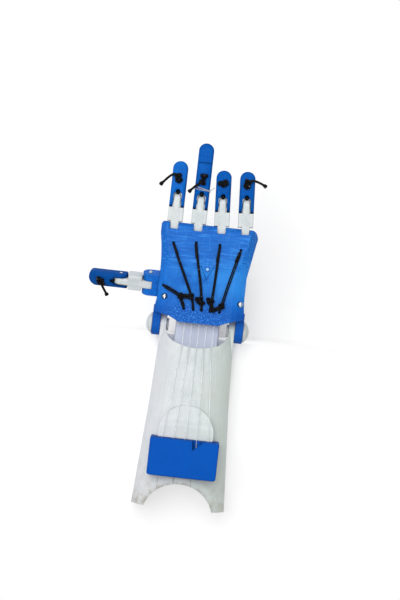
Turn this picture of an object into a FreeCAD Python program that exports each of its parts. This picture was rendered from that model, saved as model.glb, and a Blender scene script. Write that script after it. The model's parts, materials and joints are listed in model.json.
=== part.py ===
"""A wrist-driven hand prosthesis in printed plastic, as a parametric document in millimetres.

The hand lies with its back up: +X towards the little finger, +Y towards the fingertips, +Z up from the back of
the hand. The origin is the middle of the wrist axis, dropped to the plane that the gauntlet's rims stand on.
Bending the wrist pulls five nylon lines, which curl the fingers; elastic cords on the back open them again.
"""
import FreeCAD, Part
import math
import os
import re

import Sketcher
from FreeCAD import Placement, Rotation, Vector

doc = FreeCAD.newDocument("printed_hand")

# Driving dimensions, in millimetres and degrees, in a spreadsheet whose aliases name them.
SIZES = {
    # Fingers: each is a white link between two hinges and a blue tip
    "finger_width": 13.4,
    "finger_depth": 12.8,
    "tongue_width": 6.8,
    "link_length": 26.0,
    "index_reach": 34.5,
    "middle_reach": 52.5,
    "ring_reach": 30.5,
    "little_reach": 30.5,
    "thumb_reach": 28.5,
    "tip_round": 3.6,
    "tip_droop": 3.4,
    "thumb_droop": 6.0,
    "thumb_slope": 12.8,
    "tongue_round": 2.2,
    "cord_window": 1.9,
    "crease_back": 35.0,
    "crease_deep": 1.7,
    "link_round": 0.9,
    "side_gap": 0.3,
    "swing_gap": 0.4,
    "cord_hole": 2.4,
    # Hinge pins
    "pin_radius": 1.6,
    "pin_gap": 0.05,
    "pin_head_height": 1.1,
    # Knuckle row on the palm
    "knuckle_pitch": 21.0,
    "knuckle_middle": 1.2,
    "knuckle_line": 84.0,
    "knuckle_height": 30.0,
    "outer_lean": 3.5,
    "knuckle_roof": 2.2,
    "knuckle_block": 24.0,
    # Palm shell
    "palm_wall": 3.2,
    "palm_crown": 43.5,
    "crown_half": 28.0,
    "shoulder_inset": 5.5,
    "cavity_shoulder": 8.6,
    "shoulder_rise": 36.5,
    "shoulder_half": 46.0,
    "shoulder_foot": 20.0,
    "palm_left": 41.4,
    "palm_right": 44.2,
    "waist_half": 38.2,
    "waist_line": 48.0,
    "wrist_half": 40.2,
    "flare_line": 80.0,
    "corner_cut": 5.0,
    "rear_side": 10.5,
    "rear_middle": 3.6,
    "rear_step_in": 17.5,
    "rear_step_out": 26.0,
    "rib_line": 6.0,
    "rib_deep": 6.0,
    "rib_drop": 3.8,
    # Thumb seat on the palm's edge
    "thumb_out": 46.5,
    "thumb_line": 35.0,
    "thumb_height": 22.0,
    "thumb_roll": 24.0,
    "thumb_cheek": 6.2,
    "thumb_root": 2.2,
    # Wrist hinge
    "wrist_height": 20.0,
    "ear_radius": 10.4,
    "ear_inside": 33.3,
    "ear_outside": 40.3,
    "arm_inside": 27.7,
    "arm_outside": 33.0,
    "arm_radius": 9.2,
    "arm_reach": 26.0,
    "wrist_pin_radius": 4.0,
    "wrist_cap_radius": 9.2,
    "wrist_cap_dome": 5.2,
    "wrist_clip_radius": 5.4,
    "wrist_clip_height": 2.0,
    "cap_gap": 0.25,
    # Gauntlet
    "gauntlet_wall": 3.0,
    "gauntlet_rear": 160.0,
    "gauntlet_waist": 70.0,
    "front_half": 32.3,
    "waist_shell_half": 35.4,
    "rear_half": 41.4,
    "spring_height": 24.0,
    "front_crown": 43.0,
    "waist_crown": 45.4,
    "rear_crown": 49.6,
    "mouth_depth": 17.8,
    "rim_trim": 1.0,
    "mouth_corner": 14.0,
    "notch_half": 30.0,
    "notch_depth": 22.6,
    "toe_cut": 22.0,
    "ramp_half": 24.0,
    "ramp_front": 68.5,
    "ramp_low": 45.4,
    "ramp_high": 48.2,
    "strap_slot_length": 26.0,
    "strap_slot_width": 4.0,
    "strap_slot_height": 9.0,
    "strap_slot_front": 45.0,
    "strap_slot_spacing": 75.0,
    # Liner under the strings at the wrist
    "liner_half": 19.4,
    "liner_thick": 2.0,
    "liner_back": 34.0,
    "liner_front": 9.0,
    "liner_gap": 0.2,
    # Tensioner box, its sliders and screws
    "box_half": 30.2,
    "box_front": 97.6,
    "box_length": 33.2,
    "box_top": 59.4,
    "box_wall": 4.0,
    "box_round": 1.2,
    "box_seat_gap": 0.1,
    "slider_pitch": 10.4,
    "slider_width": 7.0,
    "slider_height": 6.0,
    "slider_length": 12.0,
    "slider_gap": 0.25,
    "slider_floor": 50.0,
    "slider_back": 10.0,
    "notch_wide": 9.6,
    "notch_deep": 8.6,
    "notch_place": 6.6,
    "screw_radius": 1.5,
    "screw_length": 16.0,
    "screw_head_radius": 2.8,
    "screw_head_height": 1.7,
    "screw_sink": 1.9,
    "screw_slot": 0.8,
    # Screws on the palm
    "palm_screw_radius": 1.3,
    "palm_screw_head": 2.4,
    "palm_screw_dome": 1.4,
    "palm_screw_length": 6.0,
    "groove_wide": 0.9,
    "groove_deep": 0.8,
    "groove_reach": 5.5,
    "palm_screw_sink": 3.2,
    "palm_screw_side": 33.4,
    "palm_screw_line": 24.4,
    "centre_screw_side": 3.0,
    "centre_screw_line": 51.8,
    # Cords and lines
    "elastic_radius": 1.05,
    "elastic_lift": 0.15,
    "elastic_dip": 3.0,
    "cord_front": 73.5,
    "cord_rear": 15.5,
    "knot_line": 26.5,
    "knot_radius": 2.6,
    "line_radius": 0.35,
    "line_lift": 0.1,
    "line_pitch_wrist": 6.5,
    "line_inset": 9.2,
    "line_stop": 1.6,
    "tip_knot_radius": 2.5,
    "tip_knot_back": 20.5,
}


def make_sheet():
    """The spreadsheet that holds every driving dimension under its own alias."""
    made = doc.addObject("Spreadsheet::Sheet", "sizes")
    for row, (alias, number) in enumerate(SIZES.items(), 1):
        made.set(f"A{row}", alias)
        made.set(f"B{row}", str(number))
        made.setAlias(f"B{row}", alias)
    doc.recompute()
    return made


sheet = make_sheet()
NAMES = re.compile(r"\b(" + "|".join(SIZES) + r")\b")


def linked(expression):
    """The expression with each alias written as a reference to its cell."""
    return NAMES.sub(r"sizes.\1", str(expression))


def value(expression):
    """What an expression in the sheet's aliases comes to now, as a plain number."""
    return float(sheet.evalExpression(str(expression)))


def bind(thing, **expressions):
    """Ties properties of an object to expressions in the sheet's aliases."""
    for name, expression in expressions.items():
        thing.setExpression(name.replace("__", "."), linked(expression))
    return thing


def place(thing, x="0", y="0", z="0", rotation=None):
    """Puts an object at a bound position, turned by a fixed or bound rotation."""
    if rotation is not None:
        thing.Placement = Placement(Vector(), rotation)
    return bind(thing, Placement__Base__x=x, Placement__Base__y=y, Placement__Base__z=z)


# Sketches

def arc_through(first, middle, last):
    """A circle arc through three points, and whether it runs anticlockwise from first to last."""
    circle = Part.Arc(Vector(*first, 0), Vector(*middle, 0), Vector(*last, 0)).toShape().Curve
    centre, radius = circle.Center, circle.Radius
    turn = (middle[0] - first[0]) * (last[1] - first[1]) - (middle[1] - first[1]) * (last[0] - first[0])
    start, end = (first, last) if turn > 0 else (last, first)
    angles = [math.atan2(p[1] - centre.y, p[0] - centre.x) for p in (start, end)]
    if angles[1] <= angles[0]:
        angles[1] += 2 * math.pi
    return Part.ArcOfCircle(Part.Circle(centre, Vector(0, 0, 1), radius), *angles), turn > 0


def constrain(sketch, *terms, to=None):
    """Adds one constraint, tied to an expression where one is given."""
    number = sketch.addConstraint(Sketcher.Constraint(*terms))
    if to is not None:
        sketch.setExpression(f"Constraints[{number}]", linked(to))


def pin_point(sketch, edge, end, point):
    """Holds one end of an edge at a bound place in the sketch."""
    constrain(sketch, "DistanceX", -1, 1, edge, end, value(point[0]), to=point[0])
    constrain(sketch, "DistanceY", -1, 1, edge, end, value(point[1]), to=point[1])


def draw_loop(sketch, loop):
    """Draws a closed loop. An item of two expressions is a corner; one of three starts with "arc" and is a
    point that the edge from the corner before it to the corner after it bends through."""
    corners = [item for item in loop if item[0] != "arc"]
    bends = {}
    for at, item in enumerate(loop):
        if item[0] == "arc":
            bends[loop[at - 1]] = item[1:]
    ends = []
    for at, corner in enumerate(corners):
        after = corners[(at + 1) % len(corners)]
        here, there = ([value(v) for v in p] for p in (corner, after))
        if corner in bends:
            arc, forward = arc_through(here, [value(v) for v in bends[corner]], there)
            edge = sketch.addGeometry(arc, False)
            ends.append((edge, 1, 2) if forward else (edge, 2, 1))
        else:
            edge = sketch.addGeometry(Part.LineSegment(Vector(*here, 0), Vector(*there, 0)), False)
            ends.append((edge, 1, 2))
    for at, corner in enumerate(corners):
        edge, start, _ = ends[at]
        last_edge, _, last_end = ends[at - 1]
        constrain(sketch, "Coincident", last_edge, last_end, edge, start)
        pin_point(sketch, edge, start, corner)
        if corner in bends:
            spot = [value(v) for v in bends[corner]]
            dot = sketch.addGeometry(Part.Point(Vector(*spot, 0)), True)
            pin_point(sketch, dot, 1, bends[corner])
            constrain(sketch, "PointOnObject", dot, 1, edge)


def draw_circle(sketch, x, y, radius):
    """Draws a circle at a bound place, of a bound radius."""
    centre = Vector(value(x), value(y), 0)
    edge = sketch.addGeometry(Part.Circle(centre, Vector(0, 0, 1), value(radius)), False)
    pin_point(sketch, edge, 3, (x, y))
    constrain(sketch, "Radius", edge, value(radius), to=radius)


def add_sketch(body, plane, loops=(), circles=(), offset=None, turn=None):
    """A sketch on one of the body's own origin planes, moved along its normal by a bound offset."""
    sketch = body.newObject("Sketcher::SketchObject", "sketch")
    support = next(f for f in body.Origin.OriginFeatures if f.Role == plane + "_Plane")
    sketch.AttachmentSupport = [(support, "")]
    sketch.MapMode = "FlatFace"
    if turn is not None:
        sketch.AttachmentOffset = turn
    if offset is not None:
        bind(sketch, AttachmentOffset__Base__z=offset)
    for loop in loops:
        draw_loop(sketch, loop)
    for circle in circles:
        draw_circle(sketch, *circle)
    sketch.Visibility = False
    return sketch


# Features of a body

def new_body(label):
    """An empty body whose label names its file."""
    body = doc.addObject("PartDesign::Body", "body")
    body.Label = label
    return body


def pad(body, sketch, length, both_ways=False, backwards=False):
    """Adds material along the sketch's normal, or to both sides of it."""
    feature = body.newObject("PartDesign::Pad", "pad")
    feature.Profile = sketch
    feature.Midplane = both_ways
    feature.Reversed = backwards
    return bind(feature, Length=length)


def pocket(body, sketch, length=None, both_ways=False, backwards=False):
    """Cuts along the sketch's normal: to a length, or through everything where none is given."""
    feature = body.newObject("PartDesign::Pocket", "pocket")
    feature.Profile = sketch
    feature.Midplane = both_ways
    feature.Reversed = backwards
    if length is None:
        feature.Type = 1
        return feature
    return bind(feature, Length=length)


def revolve(body, sketch):
    """A full turn of a half profile about the sketch's vertical axis."""
    feature = body.newObject("PartDesign::Revolution", "revolution")
    feature.Profile = sketch
    feature.ReferenceAxis = (sketch, ["V_Axis"])
    feature.Angle = 360
    return feature


def loft(body, sections, cutting=False):
    """Straight-sided skin through several sections, added or taken away."""
    feature = body.newObject("PartDesign::SubtractiveLoft" if cutting else "PartDesign::AdditiveLoft", "loft")
    feature.Profile = sections[0]
    feature.Sections = sections[1:]
    feature.Ruled = True
    return feature


def round_edges(body, radius, wanted):
    """Rounds the edges of the body's last shape for which wanted(edge) is true."""
    doc.recompute()
    base = body.Tip
    names = [f"Edge{n}" for n, edge in enumerate(base.Shape.Edges, 1) if wanted(edge)]
    feature = body.newObject("PartDesign::Fillet", "fillet")
    feature.Base = (base, names)
    return bind(feature, Radius=radius)


def middle_of(edge):
    """The point halfway along an edge."""
    return edge.valueAt((edge.FirstParameter + edge.LastParameter) / 2)


# Frames of the five digits

FINGERS = ("index", "middle", "ring", "little")
DIGITS = FINGERS + ("thumb",)
KNUCKLE_RADIUS = "finger_depth/2"


def finger_x(number):
    """Where a finger's knuckle lies along the row, from the little finger's pitch to the index finger's."""
    return f"knuckle_middle + knuckle_pitch*({number} - 1.5)"


def finger_base(number):
    """Bound place of a finger's knuckle; the outer two share an axis that leans forward from the ring finger's."""
    if number < 2:
        return finger_x(number), "knuckle_line", "knuckle_height"
    along = f"knuckle_pitch*({number} - 2)"
    x = f"{finger_x(2)} + {along}*cos(outer_lean*1 deg)"
    y = f"knuckle_line + {along}*sin(outer_lean*1 deg)"
    return x, y, "knuckle_height"


def seat_digit(thing, digit):
    """Places a piece that was built round its knuckle axis: forward is its +Y, its back is its +Z."""
    if digit == "thumb":
        roll = Rotation(Vector(1, 0, 0), value("thumb_roll"))
        return place(thing, "-thumb_out", "thumb_line", "thumb_height", roll * Rotation(Vector(0, 0, 1), 90))
    number = FINGERS.index(digit)
    place(thing, *finger_base(number), rotation=Rotation(Vector(0, 0, 1), value("outer_lean")))
    return bind(thing, Placement__Rotation__Angle="outer_lean*1 deg" if number > 1 else "0 deg")


# Digit pieces

def stadium(start, end, radius, level="0"):
    """A loop round two equal circles, from start to end along a line at the given level."""
    return [
        (start, f"{level} - ({radius})"),
        (end, f"{level} - ({radius})"),
        ("arc", f"{end} + {radius}", level),
        (end, f"{level} + {radius}"),
        (start, f"{level} + {radius}"),
        ("arc", f"{start} - ({radius})", level),
    ]


def arch(half, rise, at):
    """Height of a round arch above its springing, at a distance from its middle."""
    radius = f"((({half})^2 + ({rise})^2)/(2*({rise})))"
    return f"({rise}) - {radius} + sqrt({radius}^2 - ({at})^2)"


def rounded_box(half_wide, half_high, radius):
    """A loop round a rectangle about the sketch's origin, with round corners."""
    inset = f"({radius})*(1 - sqrt(0.5))"
    loop = []
    for x, y, across_first in ((1, -1, True), (1, 1, False), (-1, 1, True), (-1, -1, False)):
        edge_x, edge_y = f"{x}*({half_wide})", f"{y}*({half_high})"
        back_x, back_y = f"{x}*({half_wide} - {radius})", f"{y}*({half_high} - {radius})"
        bend = ("arc", f"{x}*({half_wide} - {inset})", f"{y}*({half_high} - {inset})")
        ends = [(back_x, edge_y), (edge_x, back_y)]
        first, last = ends if across_first else ends[::-1]
        loop += [first, bend, last]
    return loop


def make_link(digit):
    """The white link: a round-ended web that is a hinge tongue at each end, with a wide body between them."""
    body = new_body(f"{digit}_link")
    web = add_sketch(body, "YZ", [stadium("0", "link_length", KNUCKLE_RADIUS)])
    pad(body, web, "tongue_width", both_ways=True)
    near, far = "finger_depth/2 + swing_gap + 0.4", "link_length - finger_depth/2 - swing_gap - 0.1"
    block = [(near, "-finger_depth/2"), (far, "-finger_depth/2"), (far, KNUCKLE_RADIUS), (near, KNUCKLE_RADIUS)]
    pad(body, add_sketch(body, "YZ", [block]), "finger_width", both_ways=True)
    side = value("finger_width") / 2

    def outer_long(edge):
        spot = middle_of(edge)
        ends = [abs(v.X) for v in edge.Vertexes]
        return min(ends) > side - 0.01 and abs(abs(spot.z) - value(KNUCKLE_RADIUS)) < 0.01

    def nose(edge):
        ends = [abs(v.X) for v in edge.Vertexes]
        flat = max(ends) - min(ends) < 0.01 and abs(ends[0] - value("tongue_width") / 2) < 0.01
        return flat and middle_of(edge).y > value(far) + 0.05

    round_edges(body, "link_round", outer_long)
    round_edges(body, "tongue_round", nose)
    bores = add_sketch(body, "YZ", circles=[(at, "0", "pin_radius + pin_gap") for at in ("0", "link_length")])
    pocket(body, bores, both_ways=True)
    cord_way = add_sketch(body, "XZ", circles=[("0", "finger_depth/2 - 2.6", "cord_hole/2")], offset="-link_length*2")
    pocket(body, cord_way, "link_length*4")
    return seat_digit(body, digit)


def make_tip(digit):
    """The blue fingertip: two cheeks over the link's tongue, then a round-ended body that droops to the end."""
    body = new_body(f"{digit}_tip")
    reach = f"{digit}_reach"
    end = f"link_length + {reach}"
    half = "finger_width/2"
    plan = [
        (f"-{half}", "link_length - finger_depth/2"),
        (half, "link_length - finger_depth/2"),
        (half, f"{end} - {half}"),
        ("arc", "0", end),
        (f"-{half}", f"{end} - {half}"),
    ]
    pad(body, add_sketch(body, "XY", [plan]), "finger_depth", both_ways=True)
    droop = [
        (end, f"{KNUCKLE_RADIUS} - tip_droop - 1.2"),
        ("arc", f"{end} - {reach}/4", f"{KNUCKLE_RADIUS} - tip_droop/3 - 0.6"),
        (f"{end} - {reach}/2", KNUCKLE_RADIUS),
    ]
    if digit == "thumb":
        droop = [(end, f"{KNUCKLE_RADIUS} - thumb_droop"), (f"{end} - thumb_slope", KNUCKLE_RADIUS)]
    outline = [
        ("link_length", f"-({KNUCKLE_RADIUS})"),
        (f"{end} - 4", "-finger_depth/2"),
        ("arc", f"{end} - 0.9", "-finger_depth/4 - tip_droop/2"),
        (end, "-tip_droop/2"),
        *droop,
        ("link_length", KNUCKLE_RADIUS),
        ("arc", "link_length - finger_depth/2", "0"),
    ]
    around = [
        ("link_length - finger_depth", "-finger_depth"),
        (f"{end} + finger_depth", "-finger_depth"),
        (f"{end} + finger_depth", "finger_depth"),
        ("link_length - finger_depth", "finger_depth"),
    ]
    pocket(body, add_sketch(body, "YZ", [around, outline]), both_ways=True)
    section = rounded_box(half, KNUCKLE_RADIUS, "tip_round")
    outside = rounded_box("finger_width", "finger_depth", "tip_round")
    pocket(body, add_sketch(body, "XZ", [outside, section]), both_ways=True)
    tongue = "tongue_width/2 + side_gap"
    slot_end = "link_length + finger_depth/2 + swing_gap"
    bend = "tongue_round*(1 - sqrt(0.5))"
    slot = [
        (f"-({tongue})", "0"),
        (tongue, "0"),
        (tongue, f"{slot_end} - tongue_round"),
        ("arc", f"{tongue} - {bend}", f"{slot_end} - {bend}"),
        (f"{tongue} - tongue_round", slot_end),
        (f"-({tongue}) + tongue_round", slot_end),
        ("arc", f"-({tongue}) + {bend}", f"{slot_end} - {bend}"),
        (f"-({tongue})", f"{slot_end} - tongue_round"),
    ]
    pocket(body, add_sketch(body, "XY", [slot]), both_ways=True)
    bore = add_sketch(body, "YZ", circles=[("link_length", "0", "pin_radius + pin_gap")])
    pocket(body, bore, both_ways=True)
    knot_hole = add_sketch(body, "XY", circles=[("0", "link_length + tip_knot_back", "cord_hole/2")])
    pocket(body, knot_hole, both_ways=True)
    window = [("0", f"{slot_end} + cord_window/3", "cord_window")]
    pocket(body, add_sketch(body, "XY", circles=window, offset="finger_depth"), "finger_depth*1.2")
    if digit == "middle":
        top, fold = KNUCKLE_RADIUS, "link_length + crease_back"
        crease = [(f"{fold} - 1.1", f"{top} + 0.5"), (f"{fold} + 1.1", f"{top} + 0.5"), (fold, f"{top} - crease_deep")]
        pocket(body, add_sketch(body, "YZ", [crease]), both_ways=True)
    return seat_digit(body, digit)


def digit_frame(digit):
    """A digit's own frame at its knuckle, as a placement, and its bound origin."""
    if digit == "thumb":
        turn = Rotation(Vector(1, 0, 0), value("thumb_roll")) * Rotation(Vector(0, 0, 1), 90)
        return turn, ("-thumb_out", "thumb_line", "thumb_height")
    number = FINGERS.index(digit)
    lean = value("outer_lean") if number > 1 else 0
    return Rotation(Vector(0, 0, 1), lean), finger_base(number)


SIDEWAYS = Rotation(Vector(1, 1, 1), 120)


def digit_point(digit, local, distance):
    """Bound place at a distance from a digit's knuckle, along a direction in the digit's own frame."""
    turn, base = digit_frame(digit)
    way = turn.multVec(Vector(*local))
    return [f"{start} + ({distance})*({way[n]:.6f})" for n, start in enumerate(base)]


def digit_sketch(body, digit, loops=(), circles=(), aside="0"):
    """A sketch across a digit's hinge axis, in another piece's body: its axes are the digit's +Y and +Z."""
    turn = digit_frame(digit)[0]
    base = digit_point(digit, (1, 0, 0), aside)
    sketch = add_sketch(body, "XY", loops, circles, turn=Placement(Vector(), turn * SIDEWAYS))
    return bind(
        sketch,
        AttachmentOffset__Base__x=base[0],
        AttachmentOffset__Base__y=base[1],
        AttachmentOffset__Base__z=base[2],
    )


def make_axle(label, radius, length):
    """A plain round axle along the sketch's upright axis, centred on it, with broken edges."""
    body = new_body(label)
    half, bevel = f"({length})/2", f"({radius})/5"
    profile = [
        ("0", f"-({half})"),
        (f"{radius} - {bevel}", f"-({half})"),
        (radius, f"{bevel} - {half}"),
        (radius, f"{half} - {bevel}"),
        (f"{radius} - {bevel}", half),
        ("0", half),
    ]
    revolve(body, add_sketch(body, "XZ", [profile]))
    return body


ALONG_X = Rotation(Vector(0, 1, 0), 90)


def make_tip_pin(digit):
    """The pin of the joint between link and tip, flush with the tip's two cheeks."""
    body = make_axle(f"{digit}_tip_pin", "pin_radius", "finger_width - 0.4")
    spot = digit_point(digit, (0, 1, 0), "link_length")
    return place(body, *spot, rotation=digit_frame(digit)[0] * ALONG_X)


PIN_INSET = "knuckle_pitch*0.3"
INNER_PIN = f"palm_left + {finger_x(1)} + {PIN_INSET} - 0.6"
OUTER_PIN = f"palm_right - ({finger_x(2)}) + {PIN_INSET} - 1.2"
THUMB_LUG = "tongue_width + 2*side_gap + 2*thumb_cheek"


def make_knuckle_pins():
    """Two long pins carry the fingers in pairs, each pushed in from its own side; a short one carries the thumb."""
    inner = make_axle("inner_knuckle_pin", "pin_radius", INNER_PIN)
    place(inner, *digit_point("middle", (1, 0, 0), f"{PIN_INSET} - ({INNER_PIN})/2"), rotation=ALONG_X)
    outer = make_axle("outer_knuckle_pin", "pin_radius", OUTER_PIN)
    spot = digit_point("ring", (1, 0, 0), f"({OUTER_PIN})/2 - {PIN_INSET}")
    place(outer, *spot, rotation=digit_frame("ring")[0] * ALONG_X)
    thumb = make_axle("thumb_knuckle_pin", "pin_radius", f"{THUMB_LUG} + 2*pin_head_height")
    turn, base = digit_frame("thumb")
    place(thumb, *base, rotation=turn * ALONG_X)
    return [inner, outer, thumb]


# Palm

ROOF_FRONT = "knuckle_height + finger_depth/2 + swing_gap + knuckle_roof"
FRONT_ROUND = "finger_depth/2 + 0.1"


def palm_plan():
    """The palm's outline from above, from its left front corner round to the right."""
    front = f"knuckle_line + {FRONT_ROUND}"
    return [
        ("-palm_left + corner_cut/3", front),
        ("-palm_left", f"{front} - corner_cut/2"),
        ("-palm_left", "flare_line"),
        ("arc", "-waist_half - 0.9", "(flare_line + waist_line)/2"),
        ("-waist_half", "waist_line"),
        ("-waist_half", "rear_side*2.4"),
        ("-wrist_half", "rear_side"),
        ("-rear_step_out", "rear_side - 2.6"),
        ("-rear_step_in", "rear_middle"),
        ("rear_step_in", "rear_middle"),
        ("rear_step_out + 5", "rear_side - 1.6"),
        ("wrist_half", "rear_side"),
        ("waist_half", "rear_side*2.4"),
        ("waist_half", "waist_line"),
        ("palm_right - 0.3", "flare_line"),
        ("arc", "palm_right", f"{front} - corner_cut*1.1"),
        ("palm_right - corner_cut", front),
    ]


def crown(drop, half, flat):
    """A section of the palm: upright sides, round shoulders and a back that is flat to either side, lowered by drop."""
    return [
        (f"-({half})", "-1"),
        (half, "-1"),
        (half, "shoulder_foot"),
        ("arc", f"({half}) - shoulder_inset", f"shoulder_rise - ({drop})"),
        (flat, f"palm_crown - ({drop})"),
        (f"-({flat})", f"palm_crown - ({drop})"),
        ("arc", f"-({half}) + shoulder_inset", f"shoulder_rise - ({drop})"),
        (f"-({half})", "shoulder_foot"),
    ]


def frame_loop(half_wide, low, high):
    """A plain rectangle, used as the outside of a cut that keeps only what lies inside another loop."""
    return [(f"-({half_wide})", low), (half_wide, low), (half_wide, high), (f"-({half_wide})", high)]


def knuckle_slot():
    """Side view of the space that a hinge tongue swings in, open in front, below and, ahead of the axis, above."""
    reach = "(finger_depth/2 + swing_gap)"
    return [
        (f"-{reach}", "-finger_depth"),
        ("finger_depth*1.5", "-finger_depth"),
        ("finger_depth*1.5", "finger_depth*1.5"),
        ("0.4", "finger_depth*1.5"),
        ("0.4", reach),
        ("arc", f"-{reach}*sqrt(0.5)", f"{reach}*sqrt(0.5)"),
        (f"-{reach}", "0"),
    ]


def make_palm():
    """The blue palm: an arched shell, open below and behind, with a knuckle row, a thumb lug and two wrist ears."""
    body = new_body("palm_shell")
    pad(body, add_sketch(body, "XY", [palm_plan()]), "palm_crown")
    outside = crown("0", "shoulder_half", "crown_half")
    keep = add_sketch(body, "XZ", [frame_loop("shoulder_half*2", "-20", "palm_crown*2"), outside])
    pocket(body, keep, both_ways=True)
    pocket(body, add_sketch(body, "YZ", [side_frame(), palm_side()]), both_ways=True)
    cavity = "waist_half - palm_wall"
    inside = add_sketch(body, "XZ", [crown("palm_wall", cavity, f"{cavity} - cavity_shoulder")])
    pocket(body, inside, "knuckle_line - knuckle_block", backwards=False)
    swing = [("0", "wrist_height", "arm_radius + swing_gap")]
    for offset, backwards in (("arm_inside", True), ("-arm_inside", False)):
        room = add_sketch(body, "YZ", circles=swing, offset=offset)
        pocket(body, room, "ear_inside - arm_inside", backwards=backwards)
    add_line_rib(body)
    add_ears(body)
    web = "thumb_out - waist_half + thumb_root"
    lug = [
        (f"-({web})", f"-({FRONT_ROUND})"),
        ("0", f"-({FRONT_ROUND})"),
        ("arc", FRONT_ROUND, "0"),
        ("0", FRONT_ROUND),
        (f"-({web})", FRONT_ROUND),
    ]
    pad(body, digit_sketch(body, "thumb", [lug]), THUMB_LUG, both_ways=True)
    for digit in DIGITS:
        slot = digit_sketch(body, digit, [knuckle_slot()])
        pocket(body, slot, "tongue_width + 2*side_gap", both_ways=True)
    bore = [("0", "0", "pin_radius + pin_gap")]
    pocket(body, digit_sketch(body, "thumb", circles=bore), "palm_left", both_ways=True)
    inner = digit_sketch(body, "middle", circles=bore, aside=PIN_INSET)
    pocket(body, inner, "palm_left + knuckle_pitch")
    outer = digit_sketch(body, "ring", circles=bore, aside=f"-{PIN_INSET}")
    pocket(body, outer, "palm_right + knuckle_pitch", backwards=True)
    for x, y in (*CORD_FRONT, *CORD_REAR):
        hole = add_sketch(body, "XY", circles=[(x, y, "cord_hole/2")], offset="palm_crown + 1")
        pocket(body, hole, "elastic_dip + 6")
    groove = []
    for apart, side in (("groove_wide", 1), ("0", -1)):
        mouth, foot = f"(groove_reach + {apart}*0.6)", f"centre_screw_line - groove_reach*1.6 - {apart}*1.4"
        level = "centre_screw_line + groove_reach*0.55"
        spots = [(f"centre_screw_side - {mouth}", level), ("centre_screw_side", foot)]
        spots.append((f"centre_screw_side + {mouth}", level))
        groove += spots[::side]
    pocket(body, add_sketch(body, "XY", [groove], offset="palm_crown + 1"), "groove_deep + 1")
    for x, y, seat in PALM_SCREWS.values():
        face = add_sketch(body, "XY", circles=[(x, y, "palm_screw_head + 0.3")], offset="palm_crown + 1")
        pocket(body, face, f"palm_crown + 1 - ({seat})")
        hole = add_sketch(body, "XY", circles=[(x, y, "palm_screw_radius")], offset="palm_crown + 1")
        pocket(body, hole, f"palm_crown + 1 - ({seat}) + palm_screw_length + 1")
    return body


def side_frame():
    """A rectangle round the whole palm in side view."""
    return [("-60", "-30"), ("160", "-30"), ("160", "90"), ("-60", "90")]


def palm_side():
    """The palm in side view: flat rims, cut away under the knuckles, and a back that slopes to the knuckle row."""
    low = f"knuckle_height - ({FRONT_ROUND})"
    front = f"knuckle_line + {FRONT_ROUND}"
    diagonal = f"({FRONT_ROUND})*sqrt(0.5)"
    return [
        ("-40", "0"),
        ("knuckle_line - knuckle_block*1.1", "0"),
        ("knuckle_line - finger_depth*0.6", low),
        ("knuckle_line", low),
        ("arc", f"knuckle_line + {diagonal}", f"knuckle_height - {diagonal}"),
        (front, "knuckle_height"),
        (front, "knuckle_height + 3"),
        ("arc", f"{front} - 1.4", f"{ROOF_FRONT} - 1.7"),
        (f"{front} - 5.5", ROOF_FRONT),
        ("waist_line + 7", "palm_crown"),
        ("-40", "palm_crown"),
    ]


def add_ears(body):
    """The two ears that carry the palm on the wrist pins."""
    high, low = "wrist_height + ear_radius", "wrist_height - ear_radius"
    root = "rear_side + 6"
    ear = [
        (root, low),
        (root, f"{high} + 4"),
        ("0", high),
        ("arc", "-ear_radius", "wrist_height"),
        ("0", low),
    ]
    for offset, backwards in (("ear_inside", False), ("-ear_inside", True)):
        sketch = add_sketch(body, "YZ", [ear], offset=offset)
        pad(body, sketch, "ear_outside - ear_inside", backwards=backwards)
    bore = add_sketch(body, "YZ", circles=[("0", "wrist_height", "wrist_pin_radius + pin_gap")])
    pocket(body, bore, both_ways=True)


def add_line_rib(body):
    """A rib under the back of the palm, with a guide hole for each line that comes over the wrist."""
    ceiling = "palm_crown - palm_wall"
    rib = frame_loop("line_pitch_wrist*2 + 4", f"{ceiling} - rib_drop", f"{ceiling} + 1")
    pad(body, add_sketch(body, "XZ", [rib], offset="-rib_line - rib_deep"), "rib_deep")
    level = f"{ceiling} - rib_drop/2"
    holes = [(wrist_line_x(n), level, "line_radius + line_lift") for n in range(5)]
    pocket(body, add_sketch(body, "XZ", circles=holes), "rib_line + rib_deep + 1")


def wrist_line_x(number):
    """Where a line crosses the wrist, from the thumb's line to the little finger's."""
    return f"knuckle_middle + line_pitch_wrist*({number} - 2)"


# Where each elastic cord goes into the palm's back, in front and behind, for the four fingers and the thumb
CORD_FRONT = [
    ("-29.2", "cord_front - 1.6"),
    ("-9.4", "cord_front + 0.6"),
    ("11.5", "cord_front + 0.8"),
    ("30.4", "cord_front - 1.8"),
    ("-34", "knot_line + 7.4"),
]
CORD_REAR = [(x, "cord_rear") for x in ("-5.6", "1.6", "9.2", "17.6", "-13.8")]
SIDE_SEAT = "palm_crown - palm_screw_sink"
PALM_SCREWS = {
    "left": ("-palm_screw_side + 1.6", "palm_screw_line", SIDE_SEAT),
    "right": ("palm_screw_side + 1.6", "palm_screw_line", SIDE_SEAT),
    "centre": ("centre_screw_side", "centre_screw_line", "palm_crown"),
}


def make_palm_screw(name):
    """A small domed screw in the palm's back, with a driver slot."""
    body = new_body(f"palm_screw_{name}")
    profile = [
        ("0", "-palm_screw_length"),
        ("palm_screw_radius - pin_gap", "-palm_screw_length"),
        ("palm_screw_radius - pin_gap", "0"),
        ("palm_screw_head", "0"),
        ("palm_screw_head", "palm_screw_dome/4"),
        ("arc", "palm_screw_head/2", "palm_screw_dome*0.83"),
        ("0", "palm_screw_dome"),
    ]
    revolve(body, add_sketch(body, "XZ", [profile]))
    slot = frame_loop("screw_slot/2", "palm_screw_dome/2", "palm_screw_dome*2")
    pocket(body, add_sketch(body, "XZ", [slot]), both_ways=True)
    return place(body, *PALM_SCREWS[name])


# Gauntlet

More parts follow.
